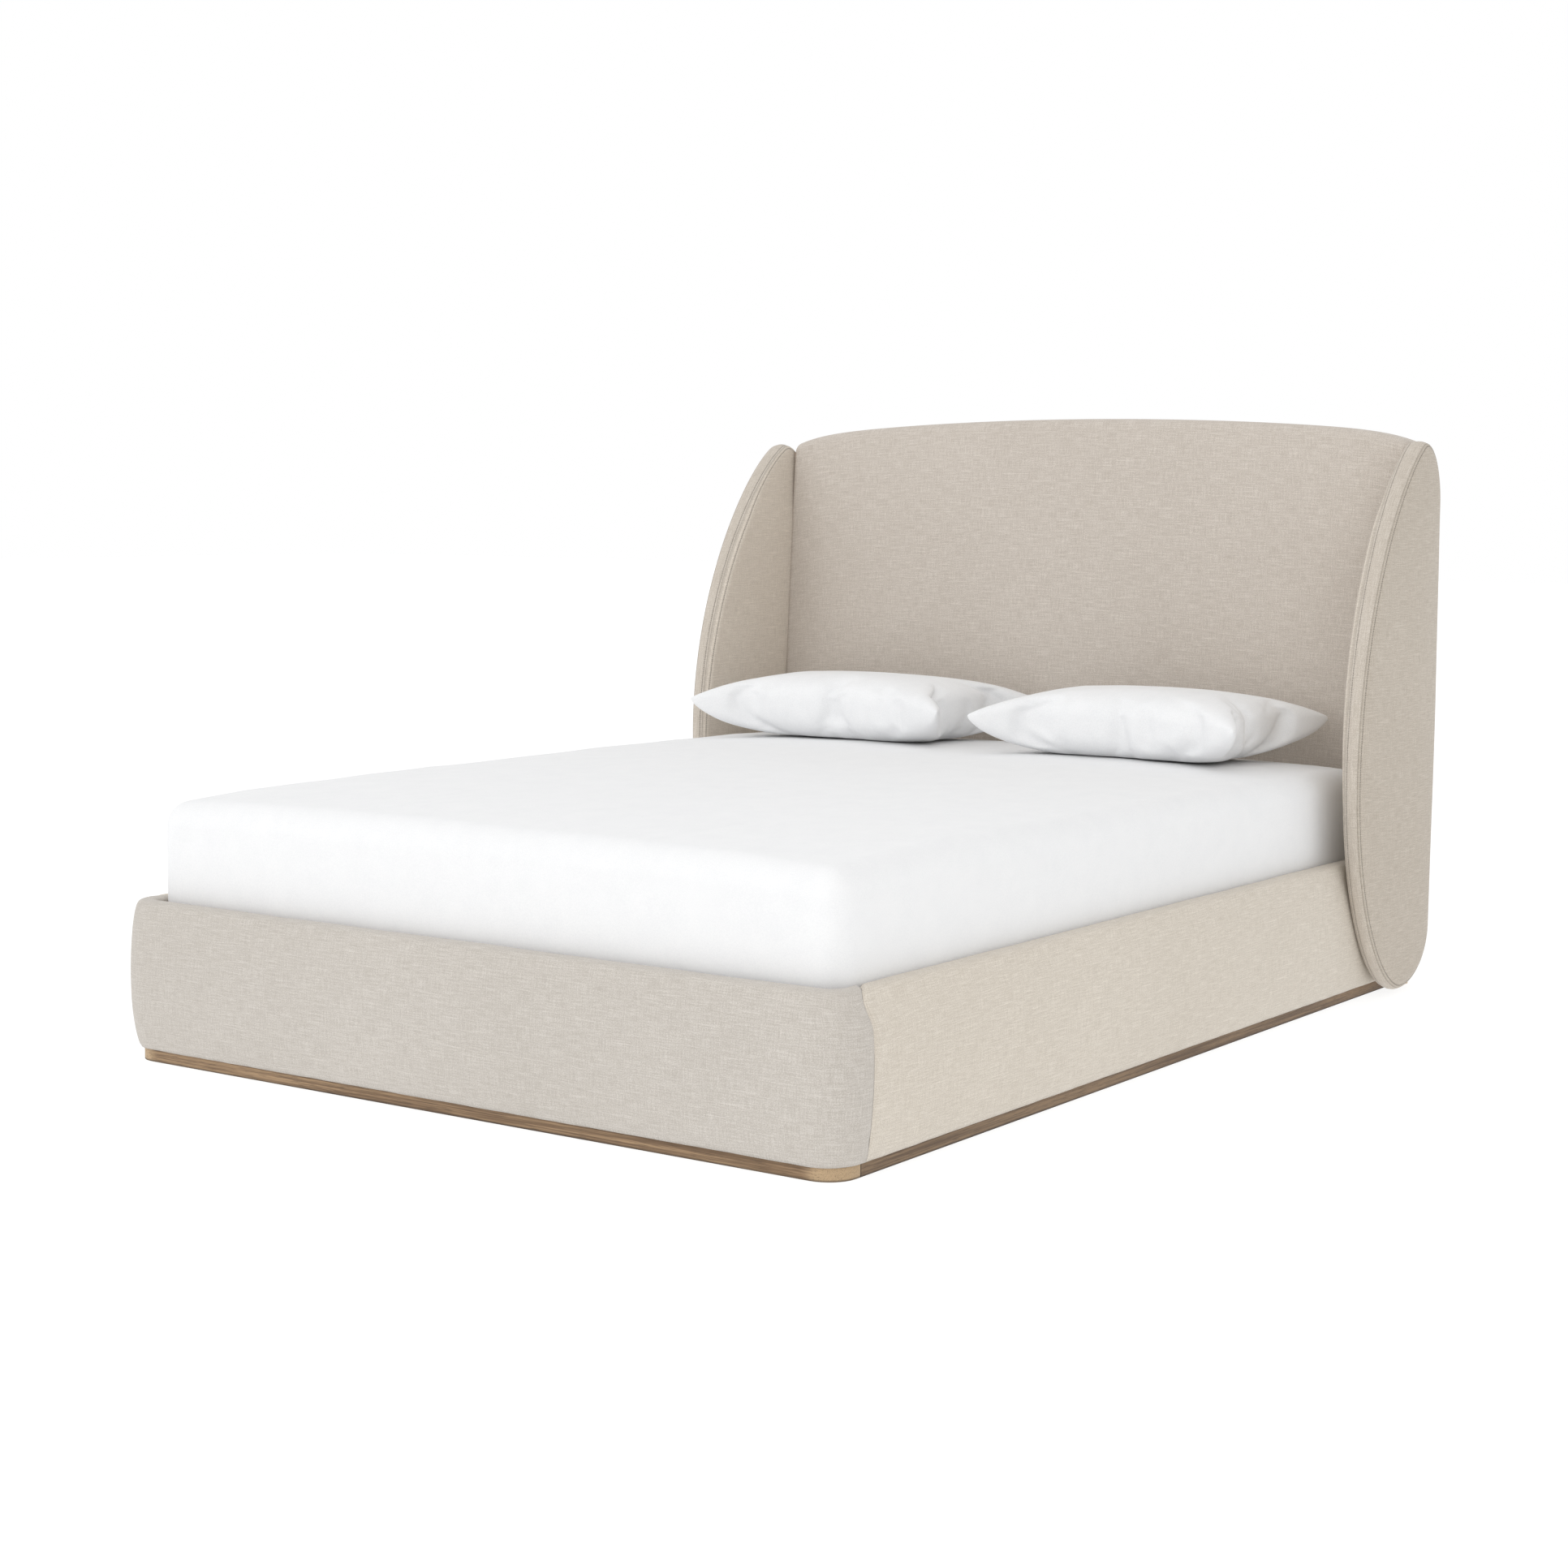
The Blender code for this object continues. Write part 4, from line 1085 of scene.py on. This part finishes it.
for vert in shape.verts:
    x, y, z = vert.co
    middle = (sheet_low.y + sheet_high.y) / 2
    across = abs(x) / sheet_high.x
    length = abs(y - middle) / (sheet_high.y - middle)
    lift = max(z - (mattress_low.z + sheet_high.z) / 2, 0) * 2 / tall
    drop = lift * CROWN_DROP * (across ** 3 + length ** 4)
    crease = abs(swell(x * 0.6, y, z, CREASE_SIZE, 3.1)) ** 0.7
    fine = abs(swell(x, y * 0.5, z * 0.4, CRUMPLE_SIZE, 7.7))
    hang = 1 - lift
    move = -CREASE_DEPTH * crease * (1 - 0.5 * hang) - CRUMPLE_DEPTH * fine
    vert.co += vert.normal * move
    vert.co.z -= drop
bmesh.ops.recalc_face_normals(shape, faces=shape.faces)
sheet = as_object("white_fitted_sheet", shape)
thick = sheet.modifiers.new("cloth_thickness", "SOLIDIFY")
thick.thickness = SHEET_THICK
thick.offset = -1


def cotton(name, white, shade):
    """Fine bleached cotton with soft creases and a hint of its threads."""
    made, start, skin = new_material(name, 0.85, sheen=0.08)
    cloth = start.node("TexCoord", {}, out="Object")
    thread = cloth.times(500, 500, 500).cloud(detail=2)
    crumple = cloth.times(16, 12, 14).cloud(detail=5, rough=0.55)
    crease = cloth.times(34, 22, 30).cloud(detail=3, rough=0.6)
    tone = thread * 0.55 + crumple * 0.25 + crease * 0.2
    tone.step(0.30, 0.66).tint(shade, white).to(skin["Base Color"])
    (0.92 - thread * 0.12).to(skin["Roughness"])
    ridge = (crumple - 0.5).once("ABSOLUTE") * 0.7 + (crease - 0.5).once("ABSOLUTE") * 0.5
    (ridge + thread * 0.03).bump(0.006, 0.16).to(skin["Normal"])
    return made


sheet.data.materials.append(cotton("sheet_cotton", SHEET_WHITE, SHEET_SHADE))
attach(sheet, "mattress_and_sheet")
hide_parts("fitted_sheet")

# ------------------------------------------------------------------ pillows
# Two plump down pillows in plain white cases. Each is two panels sewn round their edges, so it
# swells in the middle and its seam gathers into thin pointed corners.
PILLOW_ACROSS = 100
PILLOW_DOWN = 72
CASE_WIDTH = 0.745
CASE_DEPTH = 0.545
PUFF = 4.2
PUFF_FRAMES = 26
CASE_PAINTED_BRIGHTER = 1.03
SMOOTHINGS = 5
SINK_INTO_SHEET = 0.006
SIDE_FIT = 0.497
BELLY_FULL = 1.26
BELLY_POWER = 0.56
TOP_FULL = 0.80
TOP_POWER = 0.78
BELLY_LIMIT = 1.10
BELLY_PRESSED = 0.30


def pillowcase(name, seed):
    """Two flat panels a little apart, joined at their edges."""
    shape = bmesh.new()
    bmesh.ops.create_grid(shape, x_segments=PILLOW_ACROSS, y_segments=PILLOW_DOWN, size=1)
    below = bmesh.ops.duplicate(shape, geom=shape.faces[:])["geom"]
    lower = {item for item in below if isinstance(item, bmesh.types.BMVert)}
    for vert in shape.verts:
        u, v = vert.co.x, vert.co.y
        lift = max((1 - u ** 4) * (1 - v ** 4), 0) ** 0.6
        rise = 0.0012 + 0.022 * lift + 0.004 * lift * swell(u, v, seed, 0.5)
        vert.co = (u * CASE_WIDTH / 2, v * CASE_DEPTH / 2, -rise if vert in lower else rise)
    bmesh.ops.bridge_loops(shape, edges=[edge for edge in shape.edges if edge.is_boundary])
    bmesh.ops.recalc_face_normals(shape, faces=shape.faces)
    return as_object(name, shape)


def puffed(piece):
    """Blows a pillowcase up with cloth physics and keeps the shape it takes."""
    cloth = piece.modifiers.new("puff", "CLOTH")
    cloth.settings.quality = 6
    cloth.settings.mass = 0.2
    cloth.settings.tension_stiffness = 12
    cloth.settings.compression_stiffness = 12
    cloth.settings.shear_stiffness = 4
    cloth.settings.bending_stiffness = 0.25
    cloth.settings.use_pressure = True
    cloth.settings.uniform_pressure_force = PUFF
    cloth.settings.effector_weights.gravity = 0
    cloth.collision_settings.use_collision = False
    cloth.point_cache.frame_start = 1
    cloth.point_cache.frame_end = PUFF_FRAMES
    for number in range(1, PUFF_FRAMES + 1):
        bpy.context.scene.frame_set(number)
    graph = bpy.context.evaluated_depsgraph_get()
    blown = bpy.data.meshes.new_from_object(piece.evaluated_get(graph))
    piece.modifiers.clear()
    piece.data = blown
    bpy.context.scene.frame_set(1)


# The cases are the sheet's cotton painted a little brighter, as painted light.
pillow_cotton = cotton("pillow_cotton", tuple(c * CASE_PAINTED_BRIGHTER for c in SHEET_WHITE), SHEET_SHADE)
for word, seed, slim, shift in (("left", 2.0, 1.0, -0.022), ("right", 9.0, 0.93, -0.006)):
    low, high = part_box(f"pillow_{word}")
    pillow = pillowcase(f"down_pillow_{word}", seed)
    puffed(pillow)
    shape = bmesh.new()
    shape.from_mesh(pillow.data)
    for _ in range(SMOOTHINGS):
        bmesh.ops.smooth_vert(shape, verts=shape.verts, factor=0.5, use_axis_x=True, use_axis_y=True,
                              use_axis_z=True)
    tall = max(vert.co.z for vert in shape.verts) - min(vert.co.z for vert in shape.verts)
    size = high - low
    wide = max(abs(vert.co.x) for vert in shape.verts)
    deep = max(abs(vert.co.y) for vert in shape.verts)
    rise = (size.z + SINK_INTO_SHEET) / tall
    half = size.z / 2
    for vert in shape.verts:
        x, y, z = vert.co
        x, y, z = x * size.x * SIDE_FIT / wide, y * size.y * SIDE_FIT / deep, z * rise
        share = min(abs(z) / half, 1.2)
        z = -share ** BELLY_POWER * BELLY_FULL if z < 0 else share ** TOP_POWER * TOP_FULL
        z = max(z, -BELLY_LIMIT) + min(z + BELLY_LIMIT, 0) * BELLY_PRESSED
        vert.co = (x * slim, y, z * half)
    lowest = min(vert.co.z for vert in shape.verts)
    bmesh.ops.translate(shape, verts=shape.verts,
                        vec=((low.x + high.x) / 2 + shift, (low.y + high.y) / 2,
                             low.z - SINK_INTO_SHEET - lowest))
    shape.to_mesh(pillow.data)
    shape.free()
    pillow.data.polygons.foreach_set("use_smooth", [True] * len(pillow.data.polygons))
    smooth = pillow.modifiers.new("soft_surface", "SUBSURF")
    smooth.levels = smooth.render_levels = 1
    pillow.data.materials.clear()
    pillow.data.materials.append(pillow_cotton)
    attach(pillow, f"{word}_pillow")
    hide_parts(f"pillow_{word}")
